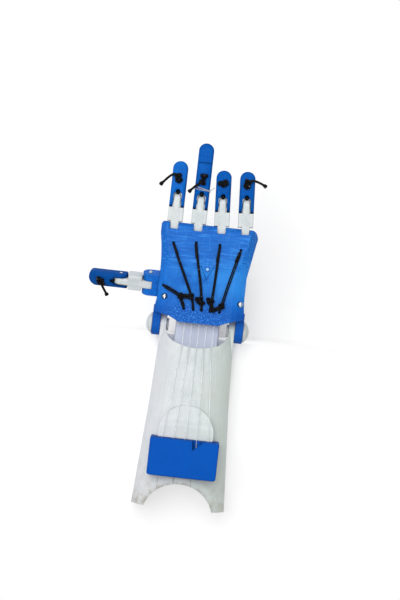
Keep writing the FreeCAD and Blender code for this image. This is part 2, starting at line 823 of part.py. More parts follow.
def gauntlet_section(half, top, inset="0", base="0"):
    """A section of the gauntlet: upright walls with a round arch over them, moved in by an inset."""
    wide = f"{half} - ({inset})"
    return [
        (f"-({wide})", base),
        (wide, base),
        (wide, "spring_height"),
        ("arc", "0", f"{top} - ({inset})"),
        (f"-({wide})", "spring_height"),
    ]


STATIONS = (
    ("0", "front_half", "front_crown"),
    ("gauntlet_waist", "waist_shell_half", "waist_crown"),
    ("gauntlet_rear", "rear_half", "rear_crown"),
)


def gauntlet_loft(body, stations, inset="0", base="0", cutting=False):
    """The gauntlet's tapering form through some of its stations, moved in or out by an inset."""
    made = [
        add_sketch(body, "XZ", [gauntlet_section(half, top, inset, base)], offset=at) for at, half, top in stations
    ]
    return loft(body, made, cutting)


def make_gauntlet():
    """The white gauntlet: an arched shell over the forearm with two arms to the wrist and a ramp for the lines."""
    body = new_body("gauntlet_shell")
    gauntlet_loft(body, STATIONS, base="-rim_trim")
    ramp = [("-ramp_half", "-box_front"), ("ramp_half", "-box_front"), ("arc", "0", "-ramp_front")]
    pad(body, add_sketch(body, "XY", [ramp], offset="spring_height*1.5"), "box_top - spring_height*1.5")
    over = [
        ("-ramp_front + 2.5", "ramp_low"),
        ("-ramp_front + 2.5", "box_top*2"),
        ("-box_front", "box_top*2"),
        ("-box_front", "ramp_high"),
    ]
    pocket(body, add_sketch(body, "YZ", [over]), both_ways=True)
    gauntlet_loft(body, STATIONS, "gauntlet_wall", "-rim_trim*2", cutting=True)
    arm = [
        ("-arm_reach", "wrist_height - arm_radius*2"),
        ("arm_radius", "wrist_height - arm_radius*2"),
        ("arm_radius", "wrist_height + arm_radius"),
        ("0", "wrist_height + arm_radius"),
        ("-arm_reach", "spring_height"),
    ]
    for offset, backwards in (("arm_inside", False), ("-arm_inside", True)):
        pad(body, add_sketch(body, "YZ", [arm], offset=offset), "arm_outside - arm_inside", backwards=backwards)
    front = [
        ("-toe_cut", "-5"),
        ("40", "-5"),
        ("40", "box_top"),
        ("-mouth_corner", "box_top"),
        ("-mouth_corner", "front_crown"),
        ("0", "wrist_height + arm_radius"),
        ("arc", "arm_radius", "wrist_height"),
        ("0", "wrist_height - arm_radius"),
        ("-toe_cut", "0"),
    ]
    pocket(body, add_sketch(body, "YZ", [front]), both_ways=True)
    mouth = [
        ("arm_inside", "40"),
        ("-arm_inside", "40"),
        ("-arm_inside", "-mouth_corner/4"),
        ("arc", "-arm_inside*0.91", "-mouth_corner*0.68"),
        ("-arm_inside*0.69", "-mouth_corner"),
        ("arc", "0", "-mouth_depth"),
        ("arm_inside*0.69", "-mouth_corner"),
        ("arc", "arm_inside*0.91", "-mouth_corner*0.68"),
        ("arm_inside", "-mouth_corner/4"),
    ]
    pocket(body, add_sketch(body, "XY", [mouth]), both_ways=True)
    notch = [
        ("-notch_half", "-gauntlet_rear - 5"),
        ("notch_half", "-gauntlet_rear - 5"),
        ("notch_half", "-gauntlet_rear"),
        ("arc", "0", "notch_depth - gauntlet_rear"),
        ("-notch_half", "-gauntlet_rear"),
    ]
    pocket(body, add_sketch(body, "XY", [notch]), both_ways=True)
    reach, radius = "(strap_slot_length - strap_slot_width)/2", "strap_slot_width/2"
    slots = []
    for middle in ("strap_slot_front", "(strap_slot_front + strap_slot_spacing)"):
        slots.append(stadium(f"-{middle} - {reach}", f"-{middle} + {reach}", radius, "strap_slot_height"))
    pocket(body, add_sketch(body, "YZ", slots), both_ways=True)
    bore = add_sketch(body, "YZ", circles=[("0", "wrist_height", "wrist_pin_radius + pin_gap")])
    pocket(body, bore, both_ways=True)
    below = add_sketch(body, "XY", [frame_loop("rear_half*2", "-gauntlet_rear*2", "gauntlet_rear")])
    pocket(body, below, "rim_trim*4")
    return body


def make_wrist_pin(side):
    """A wrist pin: domed cap outside the palm's ear, shaft through ear and arm, clip inside the arm."""
    body = new_body(f"wrist_pin_{side}")
    clip, cap = "arm_inside - pin_gap", "ear_outside + cap_gap"
    rise = "wrist_cap_dome - 0.8"
    profile = [
        ("0", f"{clip} - wrist_clip_height"),
        ("wrist_clip_radius", f"{clip} - wrist_clip_height"),
        ("wrist_clip_radius", clip),
        ("wrist_pin_radius", clip),
        ("wrist_pin_radius", cap),
        ("wrist_cap_radius", cap),
        ("wrist_cap_radius", f"{cap} + 0.8"),
        ("arc", "wrist_cap_radius/2", f"{cap} + 0.8 + {arch('wrist_cap_radius', rise, 'wrist_cap_radius/2')}"),
        ("0", f"{cap} + wrist_cap_dome"),
    ]
    revolve(body, add_sketch(body, "XZ", [profile]))
    return place(body, z="wrist_height", rotation=Rotation(Vector(0, 1, 0), 90 if side == "right" else -90))


def make_liner():
    """The soft strip under the lines at the wrist; its edges lie against the inside of the gauntlet's arch."""
    body = new_body("wrist_liner")
    rise = "front_crown - gauntlet_wall - spring_height"
    top = f"spring_height + {arch('front_half - gauntlet_wall', rise, 'liner_half')} - liner_gap"
    strip = [
        ("-liner_half", "-liner_back"),
        ("liner_half", "-liner_back"),
        ("liner_half", "liner_front"),
        ("-liner_half", "liner_front"),
    ]
    pad(body, add_sketch(body, "XY", [strip]), "liner_thick", backwards=True)
    return place(body, z=top)


# Tensioner

CHANNEL_MIDDLE = "slider_floor + slider_gap + slider_height/2"


def slider_x(number):
    """Where a slider and its screw lie across the box."""
    return f"slider_pitch*({number} - 2)"


def make_housing():
    """The blue box on the gauntlet: five slider channels, open in front, each with a screw hole behind."""
    body = new_body("tensioner_housing")
    rear = "box_front + box_length"
    plan = [
        ("-box_half", f"-({rear})"),
        ("box_half", f"-({rear})"),
        ("box_half", "-box_front - box_seat_gap"),
        ("-box_half", "-box_front - box_seat_gap"),
    ]
    pad(body, add_sketch(body, "XY", [plan], offset="spring_height"), "box_top - spring_height")
    high = value("box_top")
    round_edges(body, "box_round", lambda edge: abs(middle_of(edge).z - high) < 0.01 or upright(edge))
    gauntlet_loft(body, STATIONS[1:], "-box_seat_gap", "-1", cutting=True)
    for number in range(5):
        x = slider_x(number)
        half = "(slider_width/2 + slider_gap)"
        low, tall = "slider_floor", "slider_floor + slider_height + 2*slider_gap"
        channel = [(f"{x} - {half}", low), (f"{x} + {half}", low), (f"{x} + {half}", tall), (f"{x} - {half}", tall)]
        cut = add_sketch(body, "XZ", [channel], offset="box_front")
        pocket(body, cut, "box_length - box_wall", backwards=True)
        hole = [(x, CHANNEL_MIDDLE, "screw_radius + pin_gap")]
        pocket(body, add_sketch(body, "XZ", circles=hole, offset=rear), "box_wall*2")
        seat = [(x, CHANNEL_MIDDLE, "screw_head_radius + 3*pin_gap")]
        pocket(body, add_sketch(body, "XZ", circles=seat, offset=rear), "screw_sink")
    notch = [
        ("notch_place", "-box_front + 1"),
        ("notch_place", "-box_front - 1"),
        ("notch_place + notch_wide/12", "-box_front - notch_deep"),
        ("notch_place + notch_wide", "-box_front - 1"),
        ("notch_place + notch_wide", "-box_front + 1"),
    ]
    pocket(body, add_sketch(body, "XY", [notch], offset="box_top + 1"), "box_top + 1 - slider_floor - slider_height")
    return body


def upright(edge):
    """Whether an edge is straight up and down."""
    ends = [v.Point for v in edge.Vertexes]
    return len(ends) == 2 and abs(ends[0].x - ends[1].x) + abs(ends[0].y - ends[1].y) < 0.01


def make_slider(number):
    """A tension slider, threaded on its screw; its line is tied off in the front of the same bore."""
    body = new_body(f"tension_slider_{number + 1}")
    block = frame_loop("slider_width/2", "-slider_height/2", "slider_height/2")
    pad(body, add_sketch(body, "XZ", [block]), "slider_length")
    bore = add_sketch(body, "XZ", circles=[("0", "0", "screw_radius + pin_gap")])
    pocket(body, bore, both_ways=True)
    return place(body, slider_x(number), "-box_front - slider_back", CHANNEL_MIDDLE)


def make_tension_screw(number):
    """The screw that draws a slider, with its slotted head sunk in the back of the box."""
    body = new_body(f"tension_screw_{number + 1}")
    profile = [
        ("0", "-screw_length"),
        ("screw_radius*0.6", "-screw_length"),
        ("screw_radius", "screw_radius*0.6 - screw_length"),
        ("screw_radius", "0"),
        ("screw_head_radius", "0"),
        ("screw_head_radius", "screw_head_height*0.7"),
        ("screw_head_radius*0.85", "screw_head_height"),
        ("0", "screw_head_height"),
    ]
    revolve(body, add_sketch(body, "XZ", [profile]))
    slot = frame_loop("screw_slot/2", "screw_head_height/2", "screw_head_height*2")
    pocket(body, add_sketch(body, "XZ", [slot]), both_ways=True)
    face = "-box_front - box_length + screw_sink - pin_gap"
    return place(body, slider_x(number), face, CHANNEL_MIDDLE, Rotation(Vector(1, 0, 0), 90))


# Cords and lines

def tube(points, radius, bend):
    """A round tube along straight runs through the points, with a tangent arc at each turn."""
    spots = [Vector(*p) for p in points]
    edges, start = [], spots[0]
    for before, here, after in zip(spots, spots[1:], spots[2:]):
        back = (before - here).normalize()
        on = (after - here).normalize()
        half_angle = back.getAngle(on) / 2
        if math.pi / 2 - half_angle < 0.01:
            continue
        room = 0.45 * min((before - here).Length, (after - here).Length)
        run = min(bend / math.tan(half_angle), room)
        axis = (back + on).normalize()
        reach = run / math.cos(half_angle) - run * math.tan(half_angle)
        first, last = here + back * run, here + on * run
        edges.append(Part.LineSegment(start, first).toShape())
        edges.append(Part.Arc(first, here + axis * reach, last).toShape())
        start = last
    edges.append(Part.LineSegment(start, spots[-1]).toShape())
    ring = Part.Wire(Part.Circle(spots[0], spots[1] - spots[0], radius).toShape())
    return Part.Wire(edges).makePipeShell([ring], True, False)


def add_shape(label, shape):
    """A document object that holds a swept or joined shape as it is."""
    thing = doc.addObject("Part::Feature", "cord")
    thing.Label = label
    thing.Shape = shape
    return thing


def palm_top(x, y):
    """Height of the palm's back at a place on it."""
    start, end = value("waist_line + 7"), value(f"knuckle_line + {FRONT_ROUND} - 5.5")
    share = min(max((y - start) / (end - start), 0), 1)
    level = value("palm_crown") + share * (value(ROOF_FRONT) - value("palm_crown"))
    flat = value("crown_half")
    if abs(x) <= flat:
        return level
    foot = (value("shoulder_half"), value("shoulder_foot"))
    bulge = (value("shoulder_half - shoulder_inset"), value("shoulder_rise"))
    arc = arc_through(foot, bulge, (flat, value("palm_crown")))[0]
    return min(level, arc.Center.y + math.sqrt(arc.Radius ** 2 - (abs(x) - arc.Center.x) ** 2))


def make_elastic(number, digit):
    """The elastic that opens a digit: out of one hole in the palm's back, over it and down another, with its knot."""
    radius, dip = value("elastic_radius"), value("elastic_dip")
    lift = radius + value("elastic_lift")
    front = [value(v) for v in CORD_FRONT[number]]
    rear = [value(v) for v in CORD_REAR[number]]
    crest = value("waist_line + 7")
    plan = [front]
    if front[1] > crest:
        share = (front[1] - crest) / (front[1] - rear[1])
        plan.append([a + share * (b - a) for a, b in zip(front, rear)])
    else:
        plan += [[-value("crown_half"), value("knot_line + 4.6")], [-17.4, value("knot_line")]]
    plan.append(rear)
    if digit == "thumb":
        lift += value("elastic_lift")*2
    over = [(x, y, palm_top(x, y) + lift) for x, y in plan]
    down = [(x, y, palm_top(x, y) - dip) for x, y in (front, rear)]
    route = [down[0], *over, down[1]]
    shape = tube(route, radius, 1.7)
    size = value("knot_radius")
    if digit == "thumb":
        knot = (-17.4, value("knot_line"))
        end = (-12.4, value("knot_line") - 0.4)
    else:
        share = (front[1] - value("knot_line")) / (front[1] - rear[1])
        knot = [a + share * (b - a) for a, b in zip(front, rear)]
        end = None
    if digit == "little":
        end = (knot[0] - 6.4, knot[1] - 6.0)
    level = value("palm_crown")
    extras = []
    if digit != "thumb":
        extras.append(Part.makeSphere(size, Vector(*knot, level + size + value("elastic_lift"))))
    if end:
        high = level + lift + (0 if digit == "thumb" else radius / 2)
        extras.append(tube([(knot[0] + 0.3, knot[1] + 0.3, high), (*end, high)], radius, 1))
    shape = shape.fuse(extras)
    return add_shape(f"elastic_{digit}", shape.removeSplitter())


# Loose tail of the knot on each fingertip, from the knot, in the digit's own axes
TAILS = {
    "index": [(-6.5, -3.6, 1.8), (-15.2, -8.8, -1.0)],
    "middle": [(-5.6, -5.4, 2.0), (-10.6, -11.2, 0.6)],
    "ring": [(2.2, 2.6, 0.0), (3.4, 4.2, -0.4)],
    "little": [(6.8, 0.4, 2.2), (15.4, -1.2, -0.6)],
    "thumb": [(-4.4, -3.4, 2.6), (-9.4, -7.4, 4.2)],
}


def make_tip_knot(digit):
    """The knot that ends a digit's elastic on the back of its tip, with a stem in the hole and a short tail."""
    size, radius = value("tip_knot_radius"), value("elastic_radius")
    top, back = value(KNUCKLE_RADIUS), value("link_length + tip_knot_back")
    if digit == "thumb":
        top -= value("thumb_droop*(1 - (thumb_reach - tip_knot_back)/thumb_slope) - elastic_lift*4")
    middle = top + value("elastic_lift") + size
    shape = Part.makeSphere(size, Vector(0, back, middle))
    stem = Part.makeCylinder(radius, value("elastic_dip") + size, Vector(0, back, top - value("elastic_dip")))
    tail = [(0, back, middle)] + [(x, back + y, middle + z) for x, y, z in TAILS[digit]]
    shape = shape.fuse([stem, tube(tail, radius * 0.85, 4)]).removeSplitter()
    return seat_digit(add_shape(f"{digit}_knot", shape), digit)


def gauntlet_top(x, y):
    """Height of the gauntlet's arch at a place on it."""
    first, last = STATIONS[:2] if -y < value("gauntlet_waist") else STATIONS[1:]
    share = (-y - value(first[0])) / (value(last[0]) - value(first[0]))
    half, top = (value(a) + share * (value(b) - value(a)) for a, b in zip(first[1:], last[1:]))
    return value("spring_height") + value(arch(half, f"{top} - spring_height", x))


def make_lines():
    """The five nylon lines in three stretches: along the forearm, over the wrist and under the back of the palm."""
    radius, lift = value("line_radius"), value("line_radius + line_lift*3")
    level = value("palm_crown - palm_wall - rib_drop/2")
    mouth = -value("mouth_depth")
    rib, rib_end = value("rib_line"), value("rib_line + rib_deep")
    forearm, wrist, palm = [], [], []
    for number, digit in enumerate(("thumb",) + FINGERS):
        near, far = value(wrist_line_x(number)), value(slider_x(number))
        edge = (near, mouth - 0.4, gauntlet_top(near, mouth) + lift)
        tied = (far, -value("box_front + slider_back") - 2.4, value(CHANNEL_MIDDLE))
        gate = (far, -value("box_front"), value(CHANNEL_MIDDLE))
        forearm.append(tube([edge, gate, tied], radius, 20))
        wrist.append(tube([(near, mouth, edge[2]), (near, rib - 0.2, level)], radius, 5))
        if digit == "thumb":
            wall = -value("waist_half - palm_wall")
            line = value("thumb_line")
            ends = [(wall + 10, line - 9, level - 0.6), (wall + 6.5, line - 7, level - 8)]
            ends.append((wall + value("line_stop"), line - 4, value("thumb_height")))
        else:
            spread = value("waist_half - palm_wall - line_inset") / value(finger_x(3))
            ends = [(spread * value(finger_x(number - 1)), value("knuckle_line - knuckle_block") - 0.6, level)]
        palm.append(tube([(near, rib, level), (near, rib_end + 5, level), *ends], radius, 4))
    stretches = {"forearm": forearm, "wrist": wrist, "palm": palm}
    return [add_shape(f"tension_lines_{name}", Part.makeCompound(runs)) for name, runs in stretches.items()]


def checked_objects():
    """Stops if any object of the document failed to compute."""
    doc.recompute()
    failed = [o.Label for o in doc.Objects if "Invalid" in o.State or "Error" in o.State]
    if failed:
        raise RuntimeError(f"these objects failed: {failed}")


def make_all():
    """Every piece of the hand, each an object of the document."""
    pieces = [make_gauntlet(), make_liner(), make_housing()]
    for number in range(5):
        pieces += [make_slider(number), make_tension_screw(number)]
    pieces += [make_wrist_pin(side) for side in ("left", "right")]
    pieces.append(make_palm())
    pieces += [make_palm_screw(name) for name in PALM_SCREWS]
    pieces += make_knuckle_pins()
    for number, digit in enumerate(DIGITS):
        pieces += [make_link(digit), make_tip(digit), make_tip_pin(digit), make_tip_knot(digit)]
        pieces.append(make_elastic(number, digit))
    return pieces + make_lines()


def export(pieces):
    """Writes each piece to its own file, once every one of them is sound."""
    checked_objects()
    for piece in pieces:
        if not piece.Shape.isValid() or not piece.Shape.Solids:
            raise RuntimeError(f"{piece.Label} is not a sound solid")
    os.makedirs("parts", exist_ok=True)
    for piece in pieces:
        piece.Shape.exportStep(f"parts/{piece.Label}.step")
    print(f"{len(pieces)} pieces, {sum(len(p.Shape.Solids) for p in pieces)} solids")


if __name__ == "__main__":
    export(make_all())
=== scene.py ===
# %% [markdown]
# # A printed hand, dressed for its portrait
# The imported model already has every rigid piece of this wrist-driven hand at its real size. This lesson
# gives those pieces their finishes, rounds the tensioner box and remakes the soft pieces: the elastic
# cords with their knots, the nylon lines and the strip of lining at the wrist. Lengths are in metres, or
# in millimetres where a route is written out, in the frame of the model: +X towards the little finger, +Y
# towards the fingertips, +Z up from the back of the hand.

# %% Load the fixed frame
import json
import math
import bmesh
import bpy
from mathutils import Matrix, Vector
from mathutils.bvhtree import BVHTree

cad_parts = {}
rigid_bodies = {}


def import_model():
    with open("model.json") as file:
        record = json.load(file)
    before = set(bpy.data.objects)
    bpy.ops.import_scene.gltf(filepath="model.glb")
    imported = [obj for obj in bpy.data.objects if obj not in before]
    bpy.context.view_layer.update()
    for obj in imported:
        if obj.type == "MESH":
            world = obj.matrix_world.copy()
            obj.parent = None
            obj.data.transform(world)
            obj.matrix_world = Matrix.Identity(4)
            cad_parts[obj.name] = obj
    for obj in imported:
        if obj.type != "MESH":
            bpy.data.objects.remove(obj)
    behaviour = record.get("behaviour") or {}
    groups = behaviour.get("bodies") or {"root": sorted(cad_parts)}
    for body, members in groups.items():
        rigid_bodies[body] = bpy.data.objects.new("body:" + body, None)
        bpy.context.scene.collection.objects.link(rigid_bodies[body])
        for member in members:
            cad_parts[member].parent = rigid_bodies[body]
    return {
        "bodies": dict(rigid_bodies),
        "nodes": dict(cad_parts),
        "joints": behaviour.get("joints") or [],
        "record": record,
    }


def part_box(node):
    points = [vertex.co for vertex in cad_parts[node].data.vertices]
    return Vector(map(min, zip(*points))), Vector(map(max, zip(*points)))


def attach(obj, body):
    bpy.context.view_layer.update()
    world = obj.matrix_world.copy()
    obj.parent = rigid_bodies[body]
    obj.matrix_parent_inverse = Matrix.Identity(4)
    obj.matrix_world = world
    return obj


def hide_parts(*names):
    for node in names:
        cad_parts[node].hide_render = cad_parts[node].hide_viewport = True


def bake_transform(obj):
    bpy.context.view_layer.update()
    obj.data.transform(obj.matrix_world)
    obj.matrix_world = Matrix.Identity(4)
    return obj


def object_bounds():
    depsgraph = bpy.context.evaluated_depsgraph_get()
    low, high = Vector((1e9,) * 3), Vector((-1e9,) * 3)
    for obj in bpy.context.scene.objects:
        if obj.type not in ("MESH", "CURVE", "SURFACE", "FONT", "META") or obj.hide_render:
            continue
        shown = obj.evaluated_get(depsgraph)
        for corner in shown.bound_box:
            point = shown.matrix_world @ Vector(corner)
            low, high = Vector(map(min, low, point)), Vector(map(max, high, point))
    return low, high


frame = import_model()
nodes = frame["nodes"]
model_box = [list(corner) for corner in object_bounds()]
MM = 0.001

# %% [markdown]
# ## Camera
# The hand was photographed from straight above, lying on a table and turned a little clockwise in the
# picture. A long lens keeps the sides of the fingers from showing. The lens follows from how much of the
# table one picture height takes in, so the scale is one named length rather than a guess.

# %% Camera above the table
PICTURE_TALL = 0.528
PICTURE_CENTRE = Vector((-0.0005, 0.0245, 0.036))
PICTURE_TURN = math.radians(6.4)
CAMERA_RISE = 1.5
SENSOR = 0.036

camera_data = bpy.data.cameras.new("camera")
camera_data.sensor_width = SENSOR / MM
camera_data.lens = SENSOR * CAMERA_RISE / PICTURE_TALL / MM
camera = bpy.data.objects.new("camera", camera_data)
bpy.context.collection.objects.link(camera)
camera.location = PICTURE_CENTRE + Vector((0, 0, CAMERA_RISE))
camera.rotation_euler = (0, 0, PICTURE_TURN)
bpy.context.scene.camera = camera
bpy.context.scene.view_settings.view_transform = "Standard"
print("lens of", round(camera_data.lens), "mm")

# %% [markdown]
# ## Small tools for shader nodes
# A finish here is a Principled shader with a few texture nodes before it. Short helpers that add a node,
# join sockets, make a wave, a noise or a ramp, or lay a tint or a relief over what is there keep each
# finish down to the lines that say what the surface is like.

# %% Node helpers
def finish(name, colour, roughness, **sockets):
    """A material with its Principled shader set; returns the material, its tree and the shader."""
    material = bpy.data.materials.new(name)
    material.use_nodes = True
    tree = material.node_tree
    shader = tree.nodes["Principled BSDF"]
    shader.inputs["Base Color"].default_value = (*colour, 1)
    shader.inputs["Roughness"].default_value = roughness
    for socket, number in sockets.items():
        shader.inputs[socket.replace("_", " ")].default_value = number
    return material, tree, shader


def add(tree, kind, **settings):
    """A node of a kind. A setting with a capital is an input socket, any other a property."""
    node = tree.nodes.new("ShaderNode" + kind)
    for key, setting in settings.items():
        if key[0].isupper():
            node.inputs[key].default_value = setting
        else:
            setattr(node, key, setting)
    return node


def join(tree, source, target, socket=0):
    """Runs an output, or a node's first output, into an input of another node."""
    output = source if isinstance(source, bpy.types.NodeSocket) else source.outputs[0]
    tree.links.new(output, target.inputs[socket])
    return target


def maths(tree, operation, first, second=None):
    """One step of arithmetic on an output, with a number or another output."""
    node = add(tree, "Math", operation=operation)
    join(tree, first, node, 0)
    if isinstance(second, (int, float)):
        node.inputs[1].default_value = second
    elif second is not None:
        join(tree, second, node, 1)
    return node


def wave(tree, source, length=1.0):
    """A sine of a source, one full wave to a length."""
    return maths(tree, "SINE", maths(tree, "MULTIPLY", source, 2 * math.pi / length))


def vectors(tree, operation, first, second=None):
    """One step of vector arithmetic on an output, with a fixed vector."""
    node = join(tree, first, add(tree, "VectorMath", operation=operation))
    if second is not None:
        node.inputs[1].default_value = second
    return node


def axes(tree, source):
    """The X, Y and Z of a vector, as outputs."""
    return join(tree, source, add(tree, "SeparateXYZ")).outputs


def object_place(tree):
    """Where a point of the surface lies, in its object's own frame."""
    return add(tree, "TexCoord").outputs["Object"]


print("node helpers ready")

# %% Ramps, noise and layers
def ramp(tree, source, low, high, first=0.0, last=1.0):
    """A number that goes from first to last while a source goes from low to high, and stays there."""
    node = add(tree, "MapRange")
    for socket, number in (("From Min", low), ("From Max", high), ("To Min", first), ("To Max", last)):
        node.inputs[socket].default_value = number
    return join(tree, source, node)


def noise(tree, place, scale, detail=2.0, rough=0.5):
    """A cloudy noise over a place, with so many clouds to the metre."""
    node = add(tree, "TexNoise", Scale=scale, Detail=detail, Roughness=rough)
    return join(tree, place, node).outputs[0]


def blend_colours(tree, share, first, second):
    """A colour between two, by a share; either colour may be a node's output or three numbers."""
    node = add(tree, "Mix", data_type="RGBA")
    join(tree, share, node, 0)
    for socket, colour in ((6, first), (7, second)):
        if isinstance(colour, (tuple, list)):
            node.inputs[socket].default_value = (*colour, 1)
        else:
            join(tree, colour, node, socket)
    return node.outputs[2]


def tint_over(tree, shader, share, tint):
    """Lays a tint over a shader's colour by a share."""
    below = shader.inputs["Base Color"].links[0].from_socket
    join(tree, blend_colours(tree, share, below, tint), shader, "Base Color")


def emboss(tree, shader, height, strength, depth):
    """Raises a shader's surface by a height, over any relief that it has already."""
    bump = add(tree, "Bump", Strength=strength, Distance=depth)
    join(tree, height, bump, "Height")
    below = shader.inputs["Normal"].links
    if below:
        join(tree, below[0].from_socket, bump, "Normal")
    join(tree, bump, shader, "Normal")


print("layer helpers ready")

# %% [markdown]
# ## Printed plastic
# All the rigid pieces but the screws are printed from melted plastic thread in layers about a quarter of
# a millimetre thick. On upright sides the layers are fine ridges; where a surface is nearly level the
# same layers spread out into wide contour bands, and a truly level face shows the diagonal paths of the
# nozzle instead. The layers are read from the height above the table, so they follow each shape without
# any unwrapping. Each layer also comes out slightly lighter or darker than its neighbour. A Bevel node
# rounds the light over sharp edges, as a nozzle can't draw them sharp, and an Ambient Occlusion node
# finds the corners and creases and darkens them, partly as the grime that handling leaves there and
# partly as painted shade.

# %% Blue and white print
LAYER = 0.25 * MM
LAYER_WANDER = 0.35 * MM
NOZZLE = 0.45 * MM
GRIME_AND_SHADE_REACH = 2.4 * MM
LAYER_RELIEF = 0.05 * MM


def printed_plastic(name, light, dark, stain, roughness, band, shine, soften=0.8, crease_grime_and_shade=0.75):
    """Layered plastic: tones, a stain, layer contrast, gloss, soft edges in mm, grime and painted shade."""
    material, tree, shader = finish(name, light, roughness, Specular_IOR_Level=shine)
    place = object_place(tree)
    x, y, z = axes(tree, place)
    wander = noise(tree, place, 38.0)
    height = maths(tree, "ADD", z, maths(tree, "MULTIPLY", wander, LAYER_WANDER))
    layers = maths(tree, "DIVIDE", height, LAYER)
    each = add(tree, "TexWhiteNoise", noise_dimensions="1D")
    join(tree, maths(tree, "FLOOR", layers), each, 1)
    tone = maths(tree, "MULTIPLY", each.outputs[0], band)
    cloud = noise(tree, place, 110.0, 6.0, 0.68)
    patchy = ramp(tree, cloud, 0.40, 0.62)
    depth = maths(tree, "ADD", tone, maths(tree, "MULTIPLY", patchy, 0.6))
    body = blend_colours(tree, depth, light, dark)
    rubbed = noise(tree, place, 22.0, 4.0, 0.6)
    soft = ramp(tree, rubbed, 0.48, 0.72, last=0.7)
    body = blend_colours(tree, soft, body, stain)
    # Painted shade: Ambient Occlusion darkens corners and creases towards a dark tone, for the grime there
    # and for the shade that falls there.
    corner = add(tree, "AmbientOcclusion", samples=4, Distance=GRIME_AND_SHADE_REACH)
    grime_and_shade_share = ramp(tree, corner.outputs[1], 0.45, 0.9, first=crease_grime_and_shade, last=0.0)
    grime_and_shade_tone = tuple(tone * 0.35 for tone in dark)
    join(tree, blend_colours(tree, grime_and_shade_share, body, grime_and_shade_tone), shader, "Base Color")
    ridge = wave(tree, layers)
    path = wave(tree, maths(tree, "ADD", x, y), NOZZLE * math.sqrt(2))
    normal = axes(tree, add(tree, "NewGeometry").outputs["True Normal"])
    level = ramp(tree, maths(tree, "ABSOLUTE", normal[2]), 0.975, 0.995)
    relief = add(tree, "Mix", data_type="FLOAT")
    join(tree, level, relief, 0)
    join(tree, ridge, relief, 2)
    join(tree, maths(tree, "MULTIPLY", path, 0.5), relief, 3)
    speck = noise(tree, place, 900.0)
    total = maths(tree, "ADD", relief, maths(tree, "MULTIPLY", speck, 1.6))
    join(tree, add(tree, "Bevel", samples=6, Radius=soften * MM), shader, "Normal")
    emboss(tree, shader, total, 0.55, LAYER_RELIEF)
    gloss = ramp(tree, cloud, 0.0, 1.0, first=roughness - 0.08, last=roughness + 0.12)
    join(tree, gloss, shader, "Roughness")
    return material


BLUE = (0.004, 0.145, 0.57)
BLUE_SHADE = (0.003, 0.105, 0.45)
BLUE_WORN = (0.012, 0.175, 0.62)
DEEP = (0.001, 0.098, 0.43)
DEEP_SHADE = (0.001, 0.068, 0.31)
LIT_TIP = (0.004, 0.128, 0.51)
LIT_TIP_SHADE = (0.002, 0.09, 0.40)
SHADED_THUMB = (0.001, 0.074, 0.33)
SHADED_THUMB_SHADE = (0.001, 0.05, 0.22)
BOX = (0.0, 0.078, 0.42)
BOX_SHADE = (0.0, 0.066, 0.365)
BOX_WORN = (0.0, 0.082, 0.40)
WHITE = (0.62, 0.655, 0.665)
WHITE_SHADE = (0.50, 0.54, 0.545)
WHITE_WORN = (0.59, 0.62, 0.60)
BLUE_LOOK = {"light": BLUE, "dark": BLUE_SHADE, "stain": BLUE_WORN, "roughness": 0.46, "shine": 0.12}
WHITE_LOOK = {"light": WHITE, "dark": WHITE_SHADE, "stain": WHITE_WORN, "roughness": 0.5, "shine": 0.25}
TIP_LOOK = {"roughness": 0.44, "band": 0.5, "soften": 5.0}
blue_print = printed_plastic("blue print", band=0.35, **BLUE_LOOK)
box_print = printed_plastic(
    "deep blue print", BOX, BOX_SHADE, BOX_WORN, roughness=0.42, band=0.25, shine=0.05)
tip_print = printed_plastic("fingertip print", DEEP, DEEP_SHADE, BLUE_SHADE, shine=0.04, **TIP_LOOK)
# Painted light: the index tip is a lighter blue than the other tips.
lit_tip_print = printed_plastic("pale fingertip print", LIT_TIP, LIT_TIP_SHADE, BLUE, shine=0.06, **TIP_LOOK)
# Painted shade: the thumb tip is a darker blue than the other tips.
shaded_thumb_print = printed_plastic("thumb print", SHADED_THUMB, SHADED_THUMB_SHADE, DEEP_SHADE, shine=0.04, **TIP_LOOK)
white_print = printed_plastic("white print", band=0.5, crease_grime_and_shade=0.45, **WHITE_LOOK)
print("printed finishes made, layers of", LAYER / MM, "mm")

# %% [markdown]
# ## The palm's own marks, with painted light and shade
# The palm was shaped warm after printing, and it shows. Its slope towards the knuckles carries fine
# streaks from side to side, pale patches and slanting scuffs lie on the middle, and the strip behind the
# knots is pebbled, with pale specks where the skin of the print stretched. Over these lie painted light
# and shade: the middle is painted lighter on the side towards the little finger, and the slope and the
# strip behind the knots are painted darker, broken up by noise. All of these are noise or ramps: noise
# stretched along X for the streaks, at a slant for the scuffs, cut to its peaks for the specks, and each
# kept to its own stretch of the palm by a ramp along Y.

# %% Streaks in front, specks behind
palm_print = printed_plastic("palm print", band=0.5, **BLUE_LOOK)
palm_tree = palm_print.node_tree
palm_shader = palm_tree.nodes["Principled BSDF"]
palm_place = object_place(palm_tree)
palm_across, palm_along = axes(palm_tree, palm_place)[:2]


def marked(source, levels, along, tint, half=0.034, most=1.0):
    """Lays a tint on the palm by a source between two levels, on a stretch of Y and a half width of X."""
    peaks = ramp(palm_tree, source, *levels, last=most)
    stretch = ramp(palm_tree, palm_along, *along)
    middle = ramp(palm_tree, maths(palm_tree, "ABSOLUTE", palm_across), half, half * 0.55)
    share = maths(palm_tree, "MULTIPLY", maths(palm_tree, "MULTIPLY", peaks, stretch), middle)
    tint_over(palm_tree, palm_shader, share, tint)
    return share


stretched = join(palm_tree, palm_place, add(palm_tree, "Mapping", Scale=(60, 900, 900)))
streaks = noise(palm_tree, stretched, 1.0, 3.0)
patch_and_shade_noise = noise(palm_tree, palm_place, 45.0, 3.0, 0.6)
marked(patch_and_shade_noise, (0.42, 0.66), (0.026, 0.036), (0.018, 0.22, 0.69), most=0.8)
